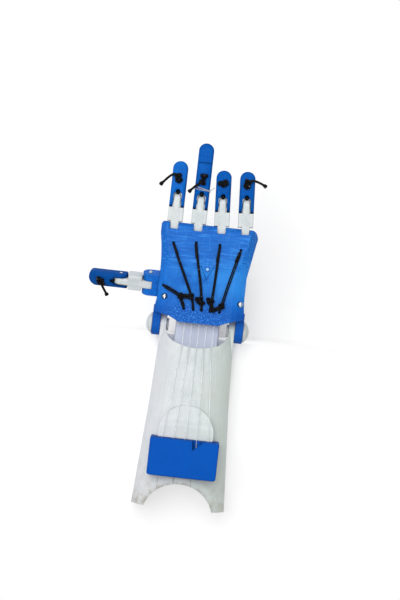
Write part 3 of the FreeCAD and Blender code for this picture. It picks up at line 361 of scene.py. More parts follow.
# Painted light: the middle is tinted lighter towards the little finger's side.
marked(palm_across, (0.002, 0.022), (0.022, 0.036), (0.03, 0.26, 0.73), half=0.07, most=0.6)
# Painted shade: the slope towards the knuckles is tinted darker, broken up by noise.
marked(patch_and_shade_noise, (0.05, 0.42), (0.050, 0.066), (0.001, 0.10, 0.45), half=0.09, most=0.75)
# Painted shade: the strip behind the knots, which slopes down to the wrist, is tinted darker, broken up by
# noise.
marked(patch_and_shade_noise, (0.05, 0.42), (0.024, 0.014), (0.001, 0.075, 0.38), half=0.09, most=0.85)
marked(streaks, (0.52, 0.68), (0.046, 0.060), (0.001, 0.08, 0.36), half=0.07, most=0.8)
marked(streaks, (0.45, 0.30), (0.040, 0.054), (0.04, 0.28, 0.78), half=0.07, most=0.7)
slanted = add(palm_tree, "Mapping", Rotation=(0, 0, math.radians(28)), Scale=(500, 90, 500))
join(palm_tree, palm_place, slanted)
scuffs = noise(palm_tree, slanted, 1.0, 4.0, 0.65)
marked(scuffs, (0.56, 0.72), (0.018, 0.030), (0.06, 0.31, 0.80), half=0.08, most=0.35)
pebbles = noise(palm_tree, palm_place, 950.0, 1.0)
specks = marked(pebbles, (0.53, 0.66), (0.028, 0.016), (0.04, 0.23, 0.72))
emboss(palm_tree, palm_shader, specks, 0.6, 0.2 * MM)
print("palm marked with streaks and specks")

# %% [markdown]
# ## White links and gauntlet
# Each link has a few raised chevrons on its back. They are a wave in the link's own directions, so the
# joints of the model say where each link is and which way it points. The gauntlet was printed flat and
# bent warm round a form: long streaks run along it, its rear edge is soiled where it rubs, and fine dark
# lines run back from the box. It is tinted cooler and a little lighter on the thumb's side as painted
# light, and greener and darker on the other side as painted shade.

# %% Chevrons on the links
joints = {joint["name"]: joint for joint in frame["joints"]}
CHEVRON = 2.3 * MM
CHEVRON_SLANT = 0.55
CHEVRON_MIDDLE = 13 * MM


def link_print(digit):
    """White print with chevrons on the back of one digit's link."""
    material = printed_plastic(f"{digit} link print", band=0.5, crease_grime_and_shade=0.4, **WHITE_LOOK)
    tree = material.node_tree
    shader = tree.nodes["Principled BSDF"]
    hinge = joints[f"{digit}_knuckle"]
    start = Vector(hinge["pos_m"])
    forward = (Vector(joints[f"{digit}_curl"]["pos_m"]) - start).normalized()
    spot = vectors(tree, "SUBTRACT", object_place(tree), start)
    along = vectors(tree, "DOT_PRODUCT", spot, forward).outputs[1]
    aside = vectors(tree, "DOT_PRODUCT", spot, hinge["axis"]).outputs[1]
    spread = maths(tree, "ABSOLUTE", aside)
    slant = maths(tree, "ADD", along, maths(tree, "MULTIPLY", spread, CHEVRON_SLANT))
    line = ramp(tree, wave(tree, slant, CHEVRON), 0.45, 0.95)
    middle = ramp(tree, spread, 4.6 * MM, 3.4 * MM)
    from_middle = maths(tree, "ABSOLUTE", maths(tree, "SUBTRACT", along, CHEVRON_MIDDLE))
    stretch = ramp(tree, from_middle, 6.0 * MM, 5.0 * MM)
    ridge = maths(tree, "MULTIPLY", maths(tree, "MULTIPLY", line, middle), stretch)
    tint_over(tree, shader, maths(tree, "MULTIPLY", ridge, 0.32), (0.34, 0.37, 0.38))
    emboss(tree, shader, ridge, 0.5, 0.2 * MM)
    return material


DIGITS = ("index", "middle", "ring", "little", "thumb")
link_prints = {digit: link_print(digit) for digit in DIGITS}
print("links finished:", ", ".join(link_prints))

# %% Streaks and soil on the gauntlet
gauntlet_print = printed_plastic("gauntlet print", band=0.45, **WHITE_LOOK)
arm_tree = gauntlet_print.node_tree
arm_shader = arm_tree.nodes["Principled BSDF"]
arm_place = object_place(arm_tree)
arm_across, arm_along = axes(arm_tree, arm_place)[:2]


def tint_gauntlet(share, tint):
    """Lays a tint over the gauntlet by a share from a node."""
    tint_over(arm_tree, arm_shader, share, tint)


# Painted light and shade: the thumb's side is tinted cooler and a little lighter, the little finger's side
# greener and darker.
cool_lit_side = ramp(arm_tree, arm_across, 0.0, -0.03, last=0.6)
tint_gauntlet(cool_lit_side, (0.65, 0.66, 0.70))
green_shaded_side = ramp(arm_tree, arm_across, 0.0, 0.03, last=0.6)
tint_gauntlet(green_shaded_side, (0.56, 0.63, 0.58))
long_grain = join(arm_tree, arm_place, add(arm_tree, "Mapping", Scale=(700, 14, 700)))
arm_streaks = noise(arm_tree, long_grain, 1.0, 3.0)
streak = ramp(arm_tree, arm_streaks, 0.55, 0.75, last=0.35)
tint_gauntlet(streak, (0.44, 0.48, 0.46))
blotches = noise(arm_tree, arm_place, 170.0, 5.0, 0.65)
blotch = ramp(arm_tree, blotches, 0.44, 0.66)
rear = ramp(arm_tree, arm_along, -0.118, -0.160, last=0.55)
tint_gauntlet(maths(arm_tree, "MULTIPLY", blotch, rear), (0.36, 0.31, 0.20))
print("gauntlet streaked")

# %% Soil round the notch and dark lines behind the box
REAR_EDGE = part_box("gauntlet_shell")[0].y
NOTCH_CENTRE = Vector((0, REAR_EDGE - 8.6 * MM, 0))
NOTCH_RADIUS = 31.2 * MM
FOOT_SPOT = Vector((-40 * MM, REAR_EDGE + 3 * MM, 0))
SOIL = (0.16, 0.135, 0.09)
DARK_LINES = (-20 * MM, -6 * MM, 9 * MM)
DARK_LINE_BEND = 3 * MM
plan = vectors(arm_tree, "MULTIPLY", arm_place, (1, 1, 0))


def soil_near(distance, reach, most):
    """Lays soil where a distance from a line or spot is short, broken up by the blotches."""
    close = ramp(arm_tree, distance, 0.0, reach, first=most, last=0.0)
    broken = maths(arm_tree, "ADD", maths(arm_tree, "MULTIPLY", blotch, 0.7), 0.3)
    tint_gauntlet(maths(arm_tree, "MULTIPLY", close, broken), SOIL)


def plan_distance(spot):
    """Distance in plan from a spot, as an output."""
    return vectors(arm_tree, "DISTANCE", plan, spot).outputs[1]


past_edge = maths(arm_tree, "SUBTRACT", plan_distance(NOTCH_CENTRE), NOTCH_RADIUS)
soil_near(maths(arm_tree, "ABSOLUTE", past_edge), 3.2 * MM, 0.75)
soil_near(plan_distance(FOOT_SPOT), 5 * MM, 0.9)
bent = maths(arm_tree, "ADD", arm_across, maths(arm_tree, "MULTIPLY", blotches, DARK_LINE_BEND))
behind = ramp(arm_tree, arm_along, -0.124, -0.128, first=0.02, last=0.0)
# Three fine dark lines behind the box, bent by the blotch noise, take the soil's colour.
for dark_line in DARK_LINES:
    aside = maths(arm_tree, "ABSOLUTE", maths(arm_tree, "SUBTRACT", bent, dark_line + DARK_LINE_BEND / 2))
    soil_near(maths(arm_tree, "ADD", aside, behind), 0.9 * MM, 0.9)
print("gauntlet soiled round the notch")

# %% [markdown]
# ## Cord, line, steel and lining
# The elastics are braided black cord, so their finish reads the length and turn of the cord from its own
# UV map and crosses two slanting waves into a weave. The nylon is nearly clear, the screws are steel with
# an uneven gloss, and the lining is a pale woven cloth with a slight fuzz. The screw in the middle of the
# palm is blued, with a bright spot at its centre.

# %% Elastic and nylon
def braided_elastic():
    """Near-black cord: two slanting waves on the UV map braid it, with pale specks as painted glints."""
    material, tree, shader = finish("black elastic", (0.003, 0.003, 0.004), 0.42, Specular_IOR_Level=0.06)
    around, along = axes(tree, add(tree, "UVMap"))[:2]
    left = wave(tree, maths(tree, "ADD", around, along))
    right = wave(tree, maths(tree, "SUBTRACT", around, along))
    weave = maths(tree, "MULTIPLY", left, right)
    shade = ramp(tree, weave, -0.9, 1.0)
    braid = blend_colours(tree, shade, (0.0015, 0.0015, 0.002), (0.006, 0.006, 0.0075))
    # Painted glints: sparse pale specks cut from a fine noise.
    glint_noise = noise(tree, object_place(tree), 620.0)
    painted_glints = ramp(tree, glint_noise, 0.70, 0.76)
    join(tree, blend_colours(tree, painted_glints, braid, (0.34, 0.33, 0.36)), shader, "Base Color")
    emboss(tree, shader, weave, 0.7, 0.08 * MM)
    return material


elastic = braided_elastic()
nylon, nylon_tree, nylon_shader = finish(
    "clear nylon", (0.80, 0.83, 0.85), 0.22, Transmission_Weight=0.55, IOR=1.53, Alpha=0.6)
nylon_noise = add(nylon_tree, "TexNoise", Scale=400.0)
nylon_gloss = ramp(nylon_tree, nylon_noise.outputs[0], 0.0, 1.0, first=0.14, last=0.34)
join(nylon_tree, nylon_gloss, nylon_shader, "Roughness")
print("cord finishes made")

# %% Steel and lining
steel, steel_tree, steel_shader = finish("turned steel", (0.30, 0.33, 0.37), 0.3, Metallic=1.0)
steel_grain = noise(steel_tree, object_place(steel_tree), 1600.0, 3.0)
steel_gloss = ramp(steel_tree, steel_grain, 0.0, 1.0, first=0.2, last=0.46)
join(steel_tree, steel_gloss, steel_shader, "Roughness")

CENTRE_SCREW = (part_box("palm_screw_centre")[0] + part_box("palm_screw_centre")[1]) / 2
blued, blued_tree, blued_shader = finish("blued screw", BLUE, 0.38, Specular_IOR_Level=0.3)
blued_plan = vectors(blued_tree, "MULTIPLY", object_place(blued_tree), (1, 1, 0))
from_centre = vectors(blued_tree, "DISTANCE", blued_plan, (*CENTRE_SCREW.xy, 0)).outputs[1]
bright = ramp(blued_tree, from_centre, 1.7 * MM, 0.9 * MM)
blued_tint = blend_colours(blued_tree, bright, BLUE_SHADE, (0.30, 0.55, 0.80))
join(blued_tree, blued_tint, blued_shader, "Base Color")

WEAVE = 0.9 * MM
liner_cloth, cloth_tree, cloth_shader = finish("liner cloth", (0.48, 0.52, 0.64), 0.85, Sheen_Weight=0.15)
cloth_across, cloth_along = axes(cloth_tree, object_place(cloth_tree))[:2]
warp = wave(cloth_tree, cloth_across, WEAVE)
weft = wave(cloth_tree, cloth_along, WEAVE)
threads = maths(cloth_tree, "MULTIPLY", warp, weft)
thread_tone = ramp(cloth_tree, threads, -1.0, 1.0)
cloth_tint = blend_colours(cloth_tree, thread_tone, (0.44, 0.48, 0.60), (0.53, 0.57, 0.69))
join(cloth_tree, cloth_tint, cloth_shader, "Base Color")
emboss(cloth_tree, cloth_shader, threads, 0.6, 0.15 * MM)
print("steel and cloth made")

# %% [markdown]
# ## Dress the model's own pieces
# The names of the pieces say what each is made of, so one pass over the names gives out the finishes.
# Most of the fingertips and the tensioner box came from a darker spool than the palm. The index tip is
# tinted a lighter blue than the other tips as painted light, and the thumb tip a darker one as painted shade.

# %% Give out the finishes
def finish_of(name):
    """The finish and the record's material slot for one of the model's pieces."""
    if "screw" in name:
        return (blued if name == "palm_screw_centre" else steel), "screw_steel"
    if "lines" in name:
        return nylon, "nylon"
    if "elastic" in name or "knot" in name:
        return elastic, "elastic"
    if name == "wrist_liner":
        return liner_cloth, "liner_fabric"
    if name == "tensioner_housing":
        return box_print, "blue_print"
    if name == "palm_shell":
        return palm_print, "blue_print"
    if name == "gauntlet_shell":
        return gauntlet_print, "white_print"
    if name.endswith("_link"):
        return link_prints[name.removesuffix("_link")], "white_print"
    if name.endswith("_tip"):
        # The index tip's lighter blue is painted light, and the thumb tip's darker blue is painted shade.
        return {"index_tip": lit_tip_print, "thumb_tip": shaded_thumb_print}.get(name, tip_print), "blue_print"
    if name.startswith("tension_slider"):
        return blue_print, "blue_print"
    return white_print, "white_print"


def dress(thing, material):
    """Makes a material the only one of a piece."""
    thing.data.materials.clear()
    thing.data.materials.append(material)


for name, node in nodes.items():
    material, slot = finish_of(name)
    dress(node, material)
print("dressed", len(nodes), "pieces")

# %% [markdown]
# ## How a cord is swept
# A cord is a round section carried along a route. A Blender curve with a bevel would do that in one step,
# but the braid should stand up from the surface, so the rings are placed one by one. A NURBS curve first
# smooths the few points that describe the route, and the rings then turn as little as possible from one
# to the next. The UV map counts strands around the cord and braid lengths along it, which is what the
# elastic finish reads.

# %% Routes and rings
STEP = 0.45 * MM
BRAID = 2.2 * MM
STRANDS = 4
END_SHARE = 0.55


def smooth_route(points):
    """Points every half millimetre or so along a smooth curve that follows the points of a route."""
    data = bpy.data.curves.new("route", "CURVE")
    data.dimensions = "3D"
    spline = data.splines.new("NURBS")
    spline.points.add(len(points) - 1)
    for spot, point in zip(spline.points, points):
        spot.co = (*point, 1)
    spline.order_u = 3
    spline.use_endpoint_u = True
    spline.resolution_u = 12
    holder = bpy.data.objects.new("route", data)
    mesh = bpy.data.meshes.new_from_object(holder)
    raw = [v.co.copy() for v in mesh.vertices]
    bpy.data.objects.remove(holder)
    bpy.data.curves.remove(data)
    bpy.data.meshes.remove(mesh)
    return even_route(raw)


def even_route(raw):
    """The same line with its points a step apart."""
    length = sum((b - a).length for a, b in zip(raw, raw[1:]))
    count = max(int(length / STEP), 4)
    gap = length / count
    made = [raw[0]]
    carried = 0.0
    for a, b in zip(raw, raw[1:]):
        run = (b - a).length
        while run > 0 and carried + run >= gap * len(made) - 1e-9 and len(made) < count:
            made.append(a.lerp(b, (gap * len(made) - carried) / run))
        carried += run
    return made + [raw[-1]]


def ring_frames(route):
    """For each point of a route, two directions across it that turn as little as possible along the way."""
    ways = [(b - a).normalized() for a, b in zip(route, route[1:])]
    ways = [ways[0]] + [(a + b).normalized() for a, b in zip(ways, ways[1:])] + [ways[-1]]
    side = ways[0].orthogonal().normalized()
    frames = []
    for way in ways:
        side = (side - way * side.dot(way)).normalized()
        frames.append((side, way.cross(side)))
    return frames


def sweep(build, route, radius, sides=14, relief=0.07):
    """Adds a closed braided tube to a bmesh. The radius is a length, or a function of the share along it."""
    frames = ring_frames(route)
    strand = build.loops.layers.uv.verify()
    rings = []
    travelled = 0.0
    shares = [n / (len(route) - 1) for n in range(len(route))]
    for n, (spot, (side, up)) in enumerate(zip(route, frames)):
        if n:
            travelled += (spot - route[n - 1]).length
        size = radius(shares[n]) if callable(radius) else radius
        if n in (0, len(route) - 1):
            size *= END_SHARE
        ring = []
        for k in range(sides):
            turn = 2 * math.pi * k / sides
            weave = math.cos(STRANDS * turn + 2 * math.pi * travelled / BRAID)
            weave *= math.cos(STRANDS * turn - 2 * math.pi * travelled / BRAID)
            reach = size * (1 + relief * weave)
            ring.append(build.verts.new(spot + reach * (math.cos(turn) * side + math.sin(turn) * up)))
        rings.append((ring, travelled / BRAID))
    for (low, start), (high, end) in zip(rings, rings[1:]):
        for k in range(sides):
            after = (k + 1) % sides
            face = build.faces.new((low[k], low[after], high[after], high[k]))
            face.smooth = True
            corners = ((k, start), (k + 1, start), (k + 1, end), (k, end))
            for loop, (around, along) in zip(face.loops, corners):
                loop[strand].uv = (STRANDS * around / sides, along)
    build.faces.new(rings[0][0][::-1])
    build.faces.new(rings[-1][0])


def piece(name, build, material):
    """Turns a bmesh into an object of the scene with one finish."""
    mesh = bpy.data.meshes.new(name)
    build.to_mesh(mesh)
    build.free()
    thing = bpy.data.objects.new(name, mesh)
    bpy.context.collection.objects.link(thing)
    dress(thing, material)
    return thing


print("cord tools ready, rings", STEP / MM, "mm apart")

# %% [markdown]
# ## Knots
# Elastic is tied off with plain overhand knots. The curve of a trefoil is an overhand knot with its ends
# joined, so a trefoil that stops just short of closing makes a real knot whose strands pass over and
# under. Stretched or flattened, it gives each lump its own look.

# %% An overhand knot
KNOT_POINTS = 64
KNOT_START = 0.35
KNOT_SHARE = 0.965


def overhand(build, frame, centre, size, radius, turn=0.0):
    """Adds a knot to a bmesh: centre and half sizes in millimetres in a frame, turned about its upright."""
    spin = Matrix.Rotation(turn, 4, "Z")
    route = []
    for n in range(KNOT_POINTS):
        t = KNOT_START + 2 * math.pi * KNOT_SHARE * n / (KNOT_POINTS - 1)
        flat = Vector((math.sin(t) + 2 * math.sin(2 * t), math.cos(t) - 2 * math.cos(2 * t), 0)) / 3
        spot = spin @ Vector((flat.x * size[0], flat.y * size[1], -math.sin(3 * t) * size[2]))
        route.append(frame @ ((Vector(centre) + spot) * MM))
    sweep(build, even_route(route), radius, sides=10)


print("a knot follows", KNOT_POINTS, "points of a trefoil")

# %% [markdown]
# ## Elastics on the palm
# Each digit is pulled straight by an elastic that comes up through the palm, runs over its back and goes
# down again near the wrist. A ray dropped on the palm gives the height of the cord at any place, so the
# cords lie on the slope and the flat alike. Towards the wrist neighbours are tied to each other in lumpy
# knots.

# %% Height of the palm's back
FEEL = 1.7
CORD = 1.15
HOLE_LIP = 1.5
HOLE_DEEP = 4.5
PLAIN = Matrix.Identity(4)


def drop(name):
    """A function that gives the top of one of the model's pieces under a place in millimetres."""
    mesh = nodes[name].data
    tree = BVHTree.FromPolygons([v.co for v in mesh.vertices], [p.vertices for p in mesh.polygons])

    def top(x, y):
        hits = []
        for a, b in ((0, 0), (FEEL, 0), (-FEEL, 0), (0, FEEL), (0, -FEEL)):
            above = Vector(((x + a) * MM, (y + b) * MM, 1))
            hits.append(tree.ray_cast(above, Vector((0, 0, -1)))[0])
        return max(hit.z for hit in hits if hit) / MM
    return top


palm_top = drop("palm_shell")


def lay(plan, lift=0.0, dive=True):
    """A route on the palm through places in millimetres, with its ends down holes unless told not to."""
    points = [(x, y, palm_top(x, y) + CORD * 0.95 + lift) for x, y in plan]
    if dive:
        first, last = points[0], points[-1]
        points = [(*first[:2], first[2] - HOLE_DEEP), (*first[:2], first[2] - HOLE_LIP), *points]
        points += [(*last[:2], last[2] - HOLE_LIP), (*last[:2], last[2] - HOLE_DEEP)]
    return smooth_route([Vector(p) * MM for p in points])


print("palm is", round(palm_top(3, 30), 1), "mm high in the middle")

# %% Five cords with their knots
ROUTES = {
    "index": [(-29.2, 71.8), (-27.4, 67.6), (-24.8, 61.8), (-22.3, 56.4), (-20.2, 52), (-13.2, 37.4),
              (-8.4, 27), (-6.4, 20.6), (-5.6, 15.6)],
    "middle": [(-9.4, 74.0), (-8.5, 69), (-7.2, 62.6), (-5.9, 57), (-4.8, 52), (-1.6, 38.4), (0.4, 27.4),
               (1.4, 20.4), (1.6, 15.6)],
    "ring": [(11.5, 74.2), (11.5, 69), (11.3, 62.6), (11.1, 57), (11.0, 52), (10.6, 38.4), (10.0, 27.4),
             (9.5, 20.4), (9.2, 15.6)],
    "little": [(30.4, 71.6), (29.5, 67.4), (28.0, 61.8), (26.6, 56.2), (25.6, 52), (21.9, 36.4), (19.8, 25.6),
               (18.4, 20), (17.6, 15.6)],
    "thumb": [(-34.0, 33.9), (-31.4, 32.8), (-26.6, 30.6), (-19.4, 27.2), (-16.9, 23.4), (-14.7, 18.4),
              (-13.8, 15.6)],
}
LOOSE = {
    "index": [([(-28.4, 70.4), (-26.3, 66), (-24.3, 61.6)], 0.2),
              ([(-17.4, 27.3), (-12, 27.6), (-8.6, 27.6)], 1.5)],
    "middle": [([(-9.7, 73.2), (-8.8, 67.4), (-7.4, 60.6)], 0.2),
               ([(1.4, 26.6), (-2.4, 24.6), (-2.8, 21.2)], 1.4)],
    "ring": [([(11.9, 73.4), (11.0, 66.6), (10.5, 59.4)], 0.2),
             ([(7.0, 25.4), (10.2, 22.4), (11.2, 19), (10.8, 16.5)], 1.2)],
    "little": [([(29.6, 70), (27.8, 64.4), (26.6, 60.4)], 0.2),
               ([(20.2, 22.4), (15.6, 19.2), (10.6, 16.9)], 1.5),
               ([(19, 19.8), (15.2, 17.4), (11.6, 15.9)], 0.3)],
    "thumb": [([(-18.8, 26.0), (-13.4, 25.2), (-8.2, 25.2)], 1.3)],
}
LUMPS = {
    "index": [((-8.6, 26.8), (2.0, 2.5, 0.9), 0.4)],
    "middle": [((-1.5, 24.5), (2.9, 2.6, 1.0), 0.2), ((0.9, 22.4), (2.0, 2.4, 0.9), 1.4)],
    "ring": [((8.2, 24.4), (3.3, 2.3, 1.0), -0.3)],
    "little": [((18.9, 21.6), (2.1, 2.3, 0.9), 0.7), ((11.4, 16.9), (2.2, 1.4, 0.8), 0.1)],
    "thumb": [((-17.7, 26.2), (2.2, 2.0, 0.9), 1.1)],
}
GIRTH = {"index": 1.12, "middle": 1.15, "ring": 1.12, "little": 0.56, "thumb": 0.72}
PAIRED = {"little": (-0.78, 0.78), "thumb": (-0.9, 0.9)}
LOOSE_CORD = CORD * 0.92
KNOT_CORD = CORD * 0.9
KNOT_LIFT = CORD * 2.3
KNOB_START = 0.78
KNOB_SWELL = 0.75
HOLE_GIRTH = 1.5
FLARE_SHARE = 0.06


def beside(plan, shift):
    """The same places moved sideways by a shift, save the two ends, which stay at their holes."""
    first, last = Vector(plan[0]), Vector(plan[-1])
    aside = (last - first).normalized().orthogonal() * shift
    return [plan[0], *[tuple(Vector(spot) + aside) for spot in plan[1:-1]], plan[-1]]


def knob(share):
    """Radius of a loose end: plain for most of its length, swelling to a melted knob at the end."""
    swell = max(0.0, (share - KNOB_START) / (1 - KNOB_START))
    return (LOOSE_CORD + KNOB_SWELL * math.sin(swell * math.pi * 0.62)) * MM


def slack(girth):
    """Radius of a cord that is stretched thin between its holes and swells to fill them at both ends."""
    def radius(share):
        near_end = max(0.0, 1 - min(share, 1 - share) / FLARE_SHARE)
        return (girth + (HOLE_GIRTH - girth) * near_end) * MM
    return radius


for digit, plan in ROUTES.items():
    build = bmesh.new()
    for shift in PAIRED.get(digit, (0.0,)):
        sweep(build, lay(beside(plan, shift)), slack(GIRTH[digit]))
    for run, lift in LOOSE[digit]:
        sweep(build, lay(run, lift, dive=False), LOOSE_CORD * MM)
    for (x, y), size, turn in LUMPS[digit]:
        overhand(build, PLAIN, (x, y, palm_top(x, y) + KNOT_LIFT), size, KNOT_CORD * MM, turn)
    cord = piece(f"elastic_{digit}_cord", build, elastic)
    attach(cord, "palm")
    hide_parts(f"elastic_{digit}")
print("elastics laid:", ", ".join(ROUTES))

# %% [markdown]
# ## Knots on the fingertips
# On each tip the elastic comes up through a hole, is knotted over it and left with a loose tail whose end
# was melted into a knob. The joints of the model say where each fingertip is and which way it points, so
# the knots are written once in the fingertip's own directions: across, forward and up from its hinge.

# %% A frame on each fingertip
def tip_frame(digit):
    """Matrix from a fingertip's own directions to the model's, with its origin on the hinge of the tip."""
    hinge = joints[f"{digit}_curl"]
    start = Vector(hinge["pos_m"])
    forward = (start - Vector(joints[f"{digit}_knuckle"]["pos_m"])).normalized()
    across = -Vector(hinge["axis"]).normalized()
    up = across.cross(forward)
    rows = [[across[n], forward[n], up[n], start[n]] for n in range(3)]
    return Matrix(rows + [[0, 0, 0, 1]])


FINGER_TOP = 6.3
THUMB_TOP = 4.4
HOLE = 20.5
INNER_CORD = CORD * 1.25
INNER_ROUTE = [(0, 4.9, 3.7), (0, 6.6, 3.8), (0, 8.4, 3.2), (0, 9.2, 1.2)]
TIP_LUMPS = {
    "index": [((-1.2, 20.2, 1.9), (2.4, 3.2, 1.0), 0.2), ((-0.4, 17.0, 1.4), (2.9, 1.5, 0.7), 0.1)],
    "middle": [((0.4, 23.0, 1.4), (2.9, 1.5, 0.7), 0.0), ((-0.6, 18.0, 1.9), (2.4, 2.6, 1.0), 0.7)],
    "ring": [((-0.4, 18.6, 1.9), (4.0, 2.3, 1.0), 0.1), ((1.4, 19.4, 1.6), (2.2, 2.2, 0.9), 0.9)],
    "little": [((-0.2, 20.4, 1.9), (2.5, 2.9, 1.0), -0.5), ((-0.6, 16.8, 1.4), (2.8, 1.4, 0.7), -0.2)],
    "thumb": [((-0.8, 18.0, 1.8), (3.0, 3.2, 1.0), 0.3), ((-2.4, 16.0, 1.6), (2.2, 2.4, 0.9), 1.2)],
}
TIP_TAILS = {
    "index": [(-1.6, 21.4, 2.6), (-4.6, 22.6, 3.4), (-9.0, 19.6, 3.2), (-13.4, 14.6, 1.6),
              (-16.4, 11.6, -0.4)],
    "middle": [(-0.8, 18.6, 2.4), (-4.2, 15.6, 3.0), (-7.8, 12.2, 2.4), (-10.4, 9.2, 0.6),
               (-11.6, 8.0, -0.4)],
    "ring": [(-1.6, 18.8, 2.4), (-3.8, 18.2, 2.2), (-5.2, 17.6, 1.6)],
    "little": [(0.4, 21.4, 2.6), (4.2, 22.4, 3.2), (8.4, 21.4, 3.2), (13.2, 19.4, 1.8), (16.6, 17.4, 0.0)],
    "thumb": [(-1.6, 17.2, 2.2), (-5.2, 15.6, 2.8), (-9.8, 13.0, 2.2), (-14.6, 10.6, 0.4)],
}
for digit, tail in TIP_TAILS.items():
    place = tip_frame(digit)
    top = THUMB_TOP if digit == "thumb" else FINGER_TOP
    build = bmesh.new()
    for (x, y, z), size, turn in TIP_LUMPS[digit]:
        overhand(build, place, (x, y, top + z), size, KNOT_CORD * MM, turn)
    stem = [(0, HOLE, top - 5), (0, HOLE, top - 1), (0, HOLE - 0.4, top + 1.4), (-0.4, HOLE - 1.4, top + 2.2)]
    sweep(build, smooth_route([place @ (Vector(p) * MM) for p in stem]), CORD * MM)
    sweep(build, smooth_route([place @ (Vector((x, y, top + z)) * MM) for x, y, z in tail]), knob)
    sweep(build, smooth_route([place @ (Vector(p) * MM) for p in INNER_ROUTE]), INNER_CORD * MM)
    cord = piece(f"{digit}_knot_cord", build, elastic)
    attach(cord, f"{digit}_tip")
    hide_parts(f"{digit}_knot")
print("tip knots tied:", len(TIP_TAILS))

# %% [markdown]
# ## Nylon over the wrist and round the middle finger
# The lines that curl the fingers run from the tensioner over the forearm, cross the open wrist as five
# straight clear strands and go on under the palm. The stretch over the wrist spans gauntlet and palm, so
# it is attached to neither and keeps its shape, a smooth curve from one to the other. Round the middle
# finger a spare end of the same line is wrapped and twisted off.

# %% Five lines in three stretches
LINE = 0.35
SLIDER = -110
BOX_FRONT = -97.7
BOX_HIGH = 53.2
SHELL_EDGE = -18.2
PALM_HIGH = 38.4
KNUCKLES = 59.4
WRIST_X = (-11.8, -5.3, 1.2, 7.7, 14.2)
EDGE_Z = (42.4, 43.9, 44.2, 43.5, 41.5)
BOX_X = (-20.8, -10.4, 0.0, 10.4, 20.8)
KNUCKLE_X = (None, -23.9, -7.3, 9.2, 25.8)
THUMB_ROUTE = [(-25.0, 25.6, 37.8), (-28.6, 28.2, 30.4), (-33.4, 31.0, 22.0)]


def strands(name, routes):
    """One piece of nylon from several routes in millimetres, each made smooth."""
    build = bmesh.new()
    for route in routes:
        sweep(build, smooth_route([Vector(p) * MM for p in route]), LINE * MM, sides=10, relief=0.0)
    return piece(name, build, nylon)


forearm = []
wrist = []
palm = []
for x, z, box_x, end_x in zip(WRIST_X, EDGE_Z, BOX_X, KNUCKLE_X):
    forearm.append([(x, SHELL_EDGE, z), (box_x, BOX_FRONT, BOX_HIGH), (box_x, SLIDER, BOX_HIGH)])
    wrist.append([(x, SHELL_EDGE, z), (x, -6, (z + PALM_HIGH) / 2), (x, 6.2, PALM_HIGH)])
    ending = THUMB_ROUTE if end_x is None else [(end_x, KNUCKLES, PALM_HIGH)]
    palm.append([(x, 6, PALM_HIGH), (x, 17, PALM_HIGH), *ending])
for name, routes, body in (("forearm", forearm, "gauntlet"), ("palm", palm, "palm")):
    stretch = strands(f"nylon_{name}", routes)
    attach(stretch, body)
    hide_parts(f"tension_lines_{name}")
over_wrist = strands("nylon_wrist", wrist)
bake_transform(over_wrist)
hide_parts("tension_lines_wrist")
print("lines strung:", len(forearm))

# %% A twist of nylon round the middle finger
SPARE_LINE = 0.4
HOOP_WIDE = 7.1
HOOP_TALL = 6.8
HOOP_POINTS = 48
HOOP_SQUARE = 5
SLOPE_RUN = 7
TWIST_POINTS = 12
TWIST_START = Vector((6.2, 10.3, 6.9))
TWIST_STEP = Vector((0.38, 0.3, -0.16))
place = tip_frame("middle")
build = bmesh.new()
for start, slope in ((12.2, -1.6), (10.9, -0.6)):
    hoop = []
    for n in range(HOOP_POINTS + 1):
        turn = 2 * math.pi * n / HOOP_POINTS
        flat = math.cos(turn)
        high = math.sin(turn)
        reach = (abs(flat) ** HOOP_SQUARE + abs(high) ** HOOP_SQUARE) ** (-1 / HOOP_SQUARE)
        x = HOOP_WIDE * reach * flat
        z = HOOP_TALL * reach * high
        hoop.append(place @ (Vector((x, start + slope * x / SLOPE_RUN, z)) * MM))
    sweep(build, even_route(hoop), SPARE_LINE * MM, sides=8, relief=0.0)
for shift in (0.0, math.pi):
    twist = []
    for n in range(TWIST_POINTS + 1):
        bend = 4 * n / TWIST_POINTS * math.pi + shift
        aside = SPARE_LINE * Vector((0, math.sin(bend), math.cos(bend)))
        twist.append(place @ ((TWIST_START + n * TWIST_STEP + aside) * MM))
    sweep(build, even_route(twist), SPARE_LINE * MM, sides=8, relief=0.0)
hoop_piece = piece("nylon_twist", build, nylon)
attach(hoop_piece, "middle_tip")
print("nylon twisted off round the middle finger")

# %% [markdown]
# ## Softened tensioner box
# The printed box has rounded corners, wider at the rear than at the front, and eased edges round its lid.
# Its eased edges and sides are tinted darker than the lid, as painted shade. The model keeps the plain
# box, since only its channels matter for the fit. The looks take a copy of that box and keep what lies
# inside a rounded block. A Boolean modifier does this cleanly, where a bevel would trip over the many
# short edges round the channels. The block is larger than the box by a hair, because faces that lie in
# one plane confuse a Boolean. Its eased edge is smaller than its smallest corner, since a wider one would
# fold the block into itself.

# %% A rounded block
REAR_CORNER = 2.6 * MM
FRONT_CORNER = 1.6 * MM
LID_EDGE = 1.2 * MM
MARGIN = 0.04 * MM
RIM_SLACK = 0.01 * MM
WELD = 0.005 * MM


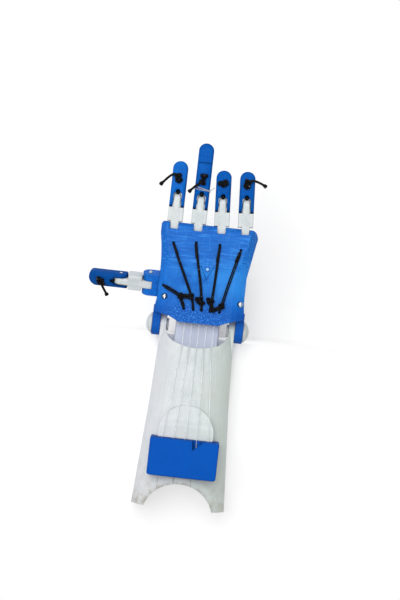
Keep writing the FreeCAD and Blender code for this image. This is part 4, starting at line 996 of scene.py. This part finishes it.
def rounded_block(low, high):
    """A block between two corners and a margin more, with rounded uprights and an eased top."""
    low, high = [n - MARGIN for n in low], [n + MARGIN for n in high]
    build = bmesh.new()
    bmesh.ops.create_cube(build, size=1.0)
    for vert in build.verts:
        vert.co = [low[n] + (vert.co[n] + 0.5) * (high[n] - low[n]) for n in range(3)]
    middle = (low[1] + high[1]) / 2
    for rear, radius in ((True, REAR_CORNER), (False, FRONT_CORNER)):
        uprights = []
        for edge in build.edges:
            foot, head = edge.verts[0].co, edge.verts[1].co
            if abs(head.z - foot.z) > LID_EDGE and (foot.y < middle) == rear:
                uprights.append(edge)
        bmesh.ops.bevel(build, geom=uprights, offset=radius, segments=6, profile=0.5, affect="EDGES")
    rim = [edge for edge in build.edges if min(vert.co.z for vert in edge.verts) > high[2] - RIM_SLACK]
    bmesh.ops.bevel(build, geom=rim, offset=LID_EDGE, segments=5, profile=0.5, affect="EDGES")
    mesh = bpy.data.meshes.new("block")
    build.to_mesh(mesh)
    build.free()
    block = bpy.data.objects.new("block", mesh)
    bpy.context.collection.objects.link(block)
    return block


block = rounded_block(*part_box("tensioner_housing"))
print("rounded block with", len(block.data.polygons), "faces")

# %% The box cut to it
build = bmesh.new()
build.from_mesh(nodes["tensioner_housing"].data)
bmesh.ops.remove_doubles(build, verts=build.verts, dist=WELD)
soft_box = piece("tensioner_box", build, box_print)
keep = soft_box.modifiers.new("keep", "BOOLEAN")
keep.operation = "INTERSECT"
keep.solver = "EXACT"
keep.object = block
shaped = bpy.data.meshes.new_from_object(soft_box.evaluated_get(bpy.context.evaluated_depsgraph_get()))
soft_box.modifiers.clear()
soft_box.data = shaped
bpy.data.objects.remove(block)
for face in shaped.polygons:
    face.use_smooth = False
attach(soft_box, "gauntlet")
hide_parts("tensioner_housing")
print("box cut to", len(shaped.polygons), "faces")

# %% Painted shade on the sloping faces of the box
box_tree = box_print.node_tree
box_shader = box_tree.nodes["Principled BSDF"]
box_normal = axes(box_tree, add(box_tree, "NewGeometry").outputs["Normal"])
# Painted shade: faces that lean away from level, the eased edges and the sides, are tinted a darker blue.
leaning_shade = ramp(box_tree, box_normal[2], 0.97, 0.3, last=0.6)
tint_over(box_tree, box_shader, leaning_shade, (0.001, 0.035, 0.20))
print("lid edges darkened")

# %% [markdown]
# ## Lining at the wrist
# A strip of padded cloth keeps the lines and the edge of the shell off the skin. It is a soft plate:
# thin, slightly slack between its edges and rounded where the cloth turns under. Two grids with a little
# sag, joined at their rims and shaded smooth, are enough, and the weave is in the finish.

# %% The padded strip
ACROSS = 28
ALONG = 34
SAG = 0.9 * MM
RIPPLE = 0.25 * MM
HALF_THICK = 0.85 * MM
ROUNDED = 0.06
LONGER = 1.2
LINER_DROP = 0.5 * MM
SEAM = 0.02 * MM
low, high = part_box("wrist_liner")
level = (low.z + high.z) / 2 - LINER_DROP
build = bmesh.new()
layers = ([], [])
for n in range(ALONG + 1):
    rows = ([], [])
    for k in range(ACROSS + 1):
        u = k / ACROSS
        v = n / ALONG
        edge = min(u, 1 - u, v * LONGER, (1 - v) * LONGER)
        sag = SAG * math.sin(math.pi * u) * math.sin(math.pi * v) + RIPPLE * math.sin(9 * u + 5 * v)
        puff = HALF_THICK * min(edge / ROUNDED, 1.0) ** 0.5
        x = low.x + (high.x - low.x) * u
        y = low.y + (high.y - low.y) * v
        rows[0].append(build.verts.new((x, y, level - sag + puff)))
        rows[1].append(build.verts.new((x, y, level - sag - puff)))
    layers[0].append(rows[0])
    layers[1].append(rows[1])
for verts, flip in ((layers[0], 1), (layers[1], -1)):
    for n in range(ALONG):
        for k in range(ACROSS):
            corners = (verts[n][k], verts[n][k + 1], verts[n + 1][k + 1], verts[n + 1][k])
            build.faces.new(corners[::flip]).smooth = True
bmesh.ops.remove_doubles(build, verts=build.verts, dist=SEAM)
liner = piece("liner_pad", build, liner_cloth)
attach(liner, "gauntlet")
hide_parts("wrist_liner")
print("lining of", round((high.x - low.x) / MM), "by", round((high.y - low.y) / MM), "mm")

# %% [markdown]
# ## Table and light
# The gauntlet lies on a white table with the hand over its edge, so the wrist can bend without going
# through the table. One sheet of paper covers the table, rolls over the edge and runs out over a lower
# shelf. A large soft lamp a little towards the fingertips and a bright, even sky keep the shadows short
# and pale. A Light Path node tells the eye's own rays from the light that falls on the hand, so the sky
# and the far part of the sheet look plain white without lighting anything more. Near the gauntlet and
# below the wrist the sheet keeps its own shade.

# %% White sheet
def seen(tree):
    """One for a ray that the eye sends, straight or by way of gloss or clear nylon, and nought for others."""
    ray = add(tree, "LightPath")
    direct = maths(tree, "MAXIMUM", ray.outputs["Is Camera Ray"], ray.outputs["Is Glossy Ray"])
    return maths(tree, "MAXIMUM", direct, ray.outputs["Is Transmission Ray"])


EDGE_LINE = -9 * MM
EDGE_ROUND = 6 * MM
SHELF_DROP = 110 * MM
WIDE = 9.0
ROUND_STEPS = 8
PAPER_GLOW = 0.6
over = []
down = []
for n in range(ROUND_STEPS + 1):
    turn = math.pi / 2 * n / ROUND_STEPS
    near = EDGE_ROUND * (1 - math.cos(turn))
    far = EDGE_ROUND * (1 - math.sin(turn))
    over.append((EDGE_LINE - far, -near))
    down.append((EDGE_LINE + near, -SHELF_DROP + far))
profile = [(-WIDE, 0.0), *over, *down, (WIDE, -SHELF_DROP)]
build = bmesh.new()
rims = [[build.verts.new((x, y, z)) for y, z in profile] for x in (-WIDE, WIDE)]
for n in range(len(profile) - 1):
    build.faces.new((rims[0][n], rims[1][n], rims[1][n + 1], rims[0][n + 1])).smooth = True
sheet_mesh = bpy.data.meshes.new("table")
build.to_mesh(sheet_mesh)
build.free()
table = bpy.data.objects.new("table", sheet_mesh)
bpy.context.collection.objects.link(table)
table.location.z = model_box[0][2] - 0.1 * MM
table_paper, table_tree, table_shader = finish("table paper", (0.93, 0.93, 0.93), 0.9, Specular_IOR_Level=0.0)
table_place = object_place(table_tree)


def rings_round(centre, reach, near, far):
    """A share that rises with the distance from a centre, in parts of a reach along X, Y and Z."""
    spot = vectors(table_tree, "SUBTRACT", table_place, centre)
    part = vectors(table_tree, "DIVIDE", spot, reach)
    return ramp(table_tree, vectors(table_tree, "LENGTH", part).outputs[1], near, far)


clear = rings_round(centre=(0, -0.03, 0), reach=(0.034, 0.1, 0.04), near=0.9, far=1.15)
under = rings_round(centre=(0, 0, -SHELF_DROP), reach=(0.06, 0.1, 0.1), near=0.4, far=1.1)
beyond = rings_round(centre=(-0.01, 0, 0), reach=(0.1, 0.2, 1), near=0.7, far=1.5)
table_normal = axes(table_tree, add(table_tree, "NewGeometry").outputs["Normal"])
upright = ramp(table_tree, maths(table_tree, "ABSOLUTE", table_normal[2]), 0.98, 0.4, last=0.9)
open_ground = maths(table_tree, "MINIMUM", clear, under)
around = maths(table_tree, "MULTIPLY", open_ground, maths(table_tree, "MAXIMUM", upright, PAPER_GLOW))
paper_white = maths(table_tree, "MAXIMUM", around, beyond)
plain = maths(table_tree, "MULTIPLY", paper_white, seen(table_tree))
paper_look = add(table_tree, "MixShader")
join(table_tree, plain, paper_look, 0)
join(table_tree, table_shader, paper_look, 1)
join(table_tree, add(table_tree, "Emission"), paper_look, 2)
join(table_tree, paper_look, table_tree.nodes["Material Output"], 0)
dress(table, table_paper)
print("sheet laid over an edge", round(SHELF_DROP / MM), "mm high")

# %% Sky and lamp
SKY_LIGHT = 0.5
LAMP_WIDE = 1.5
LAMP_POWER = 32
LAMP_PLACE = Vector((-0.38, 0.5, 1.8))
sky = bpy.data.worlds.new("sky")
sky.use_nodes = True
sky_tree = sky.node_tree
sky_tree.nodes["Background"].inputs["Color"].default_value = (1, 1, 1, 1)
sky_share = ramp(sky_tree, seen(sky_tree), 0.0, 1.0, first=SKY_LIGHT)
join(sky_tree, sky_share, sky_tree.nodes["Background"], "Strength")
bpy.context.scene.world = sky

lamp_data = bpy.data.lights.new("lamp", "AREA")
lamp_data.shape = "DISK"
lamp_data.size = LAMP_WIDE
lamp_data.energy = LAMP_POWER
lamp = bpy.data.objects.new("lamp", lamp_data)
bpy.context.collection.objects.link(lamp)
lamp.location = LAMP_PLACE
lamp.rotation_euler = (-LAMP_PLACE).to_track_quat("-Z", "Y").to_euler()
print("lamp of", LAMP_POWER, "W at", [round(x, 2) for x in LAMP_PLACE])

# %% [markdown]
# ## Last measure
# The finished piece must be the size of the model, so the box round the model's pieces, measured when
# they were loaded, is printed.

# %% Size of the model
print("model box", model_box)
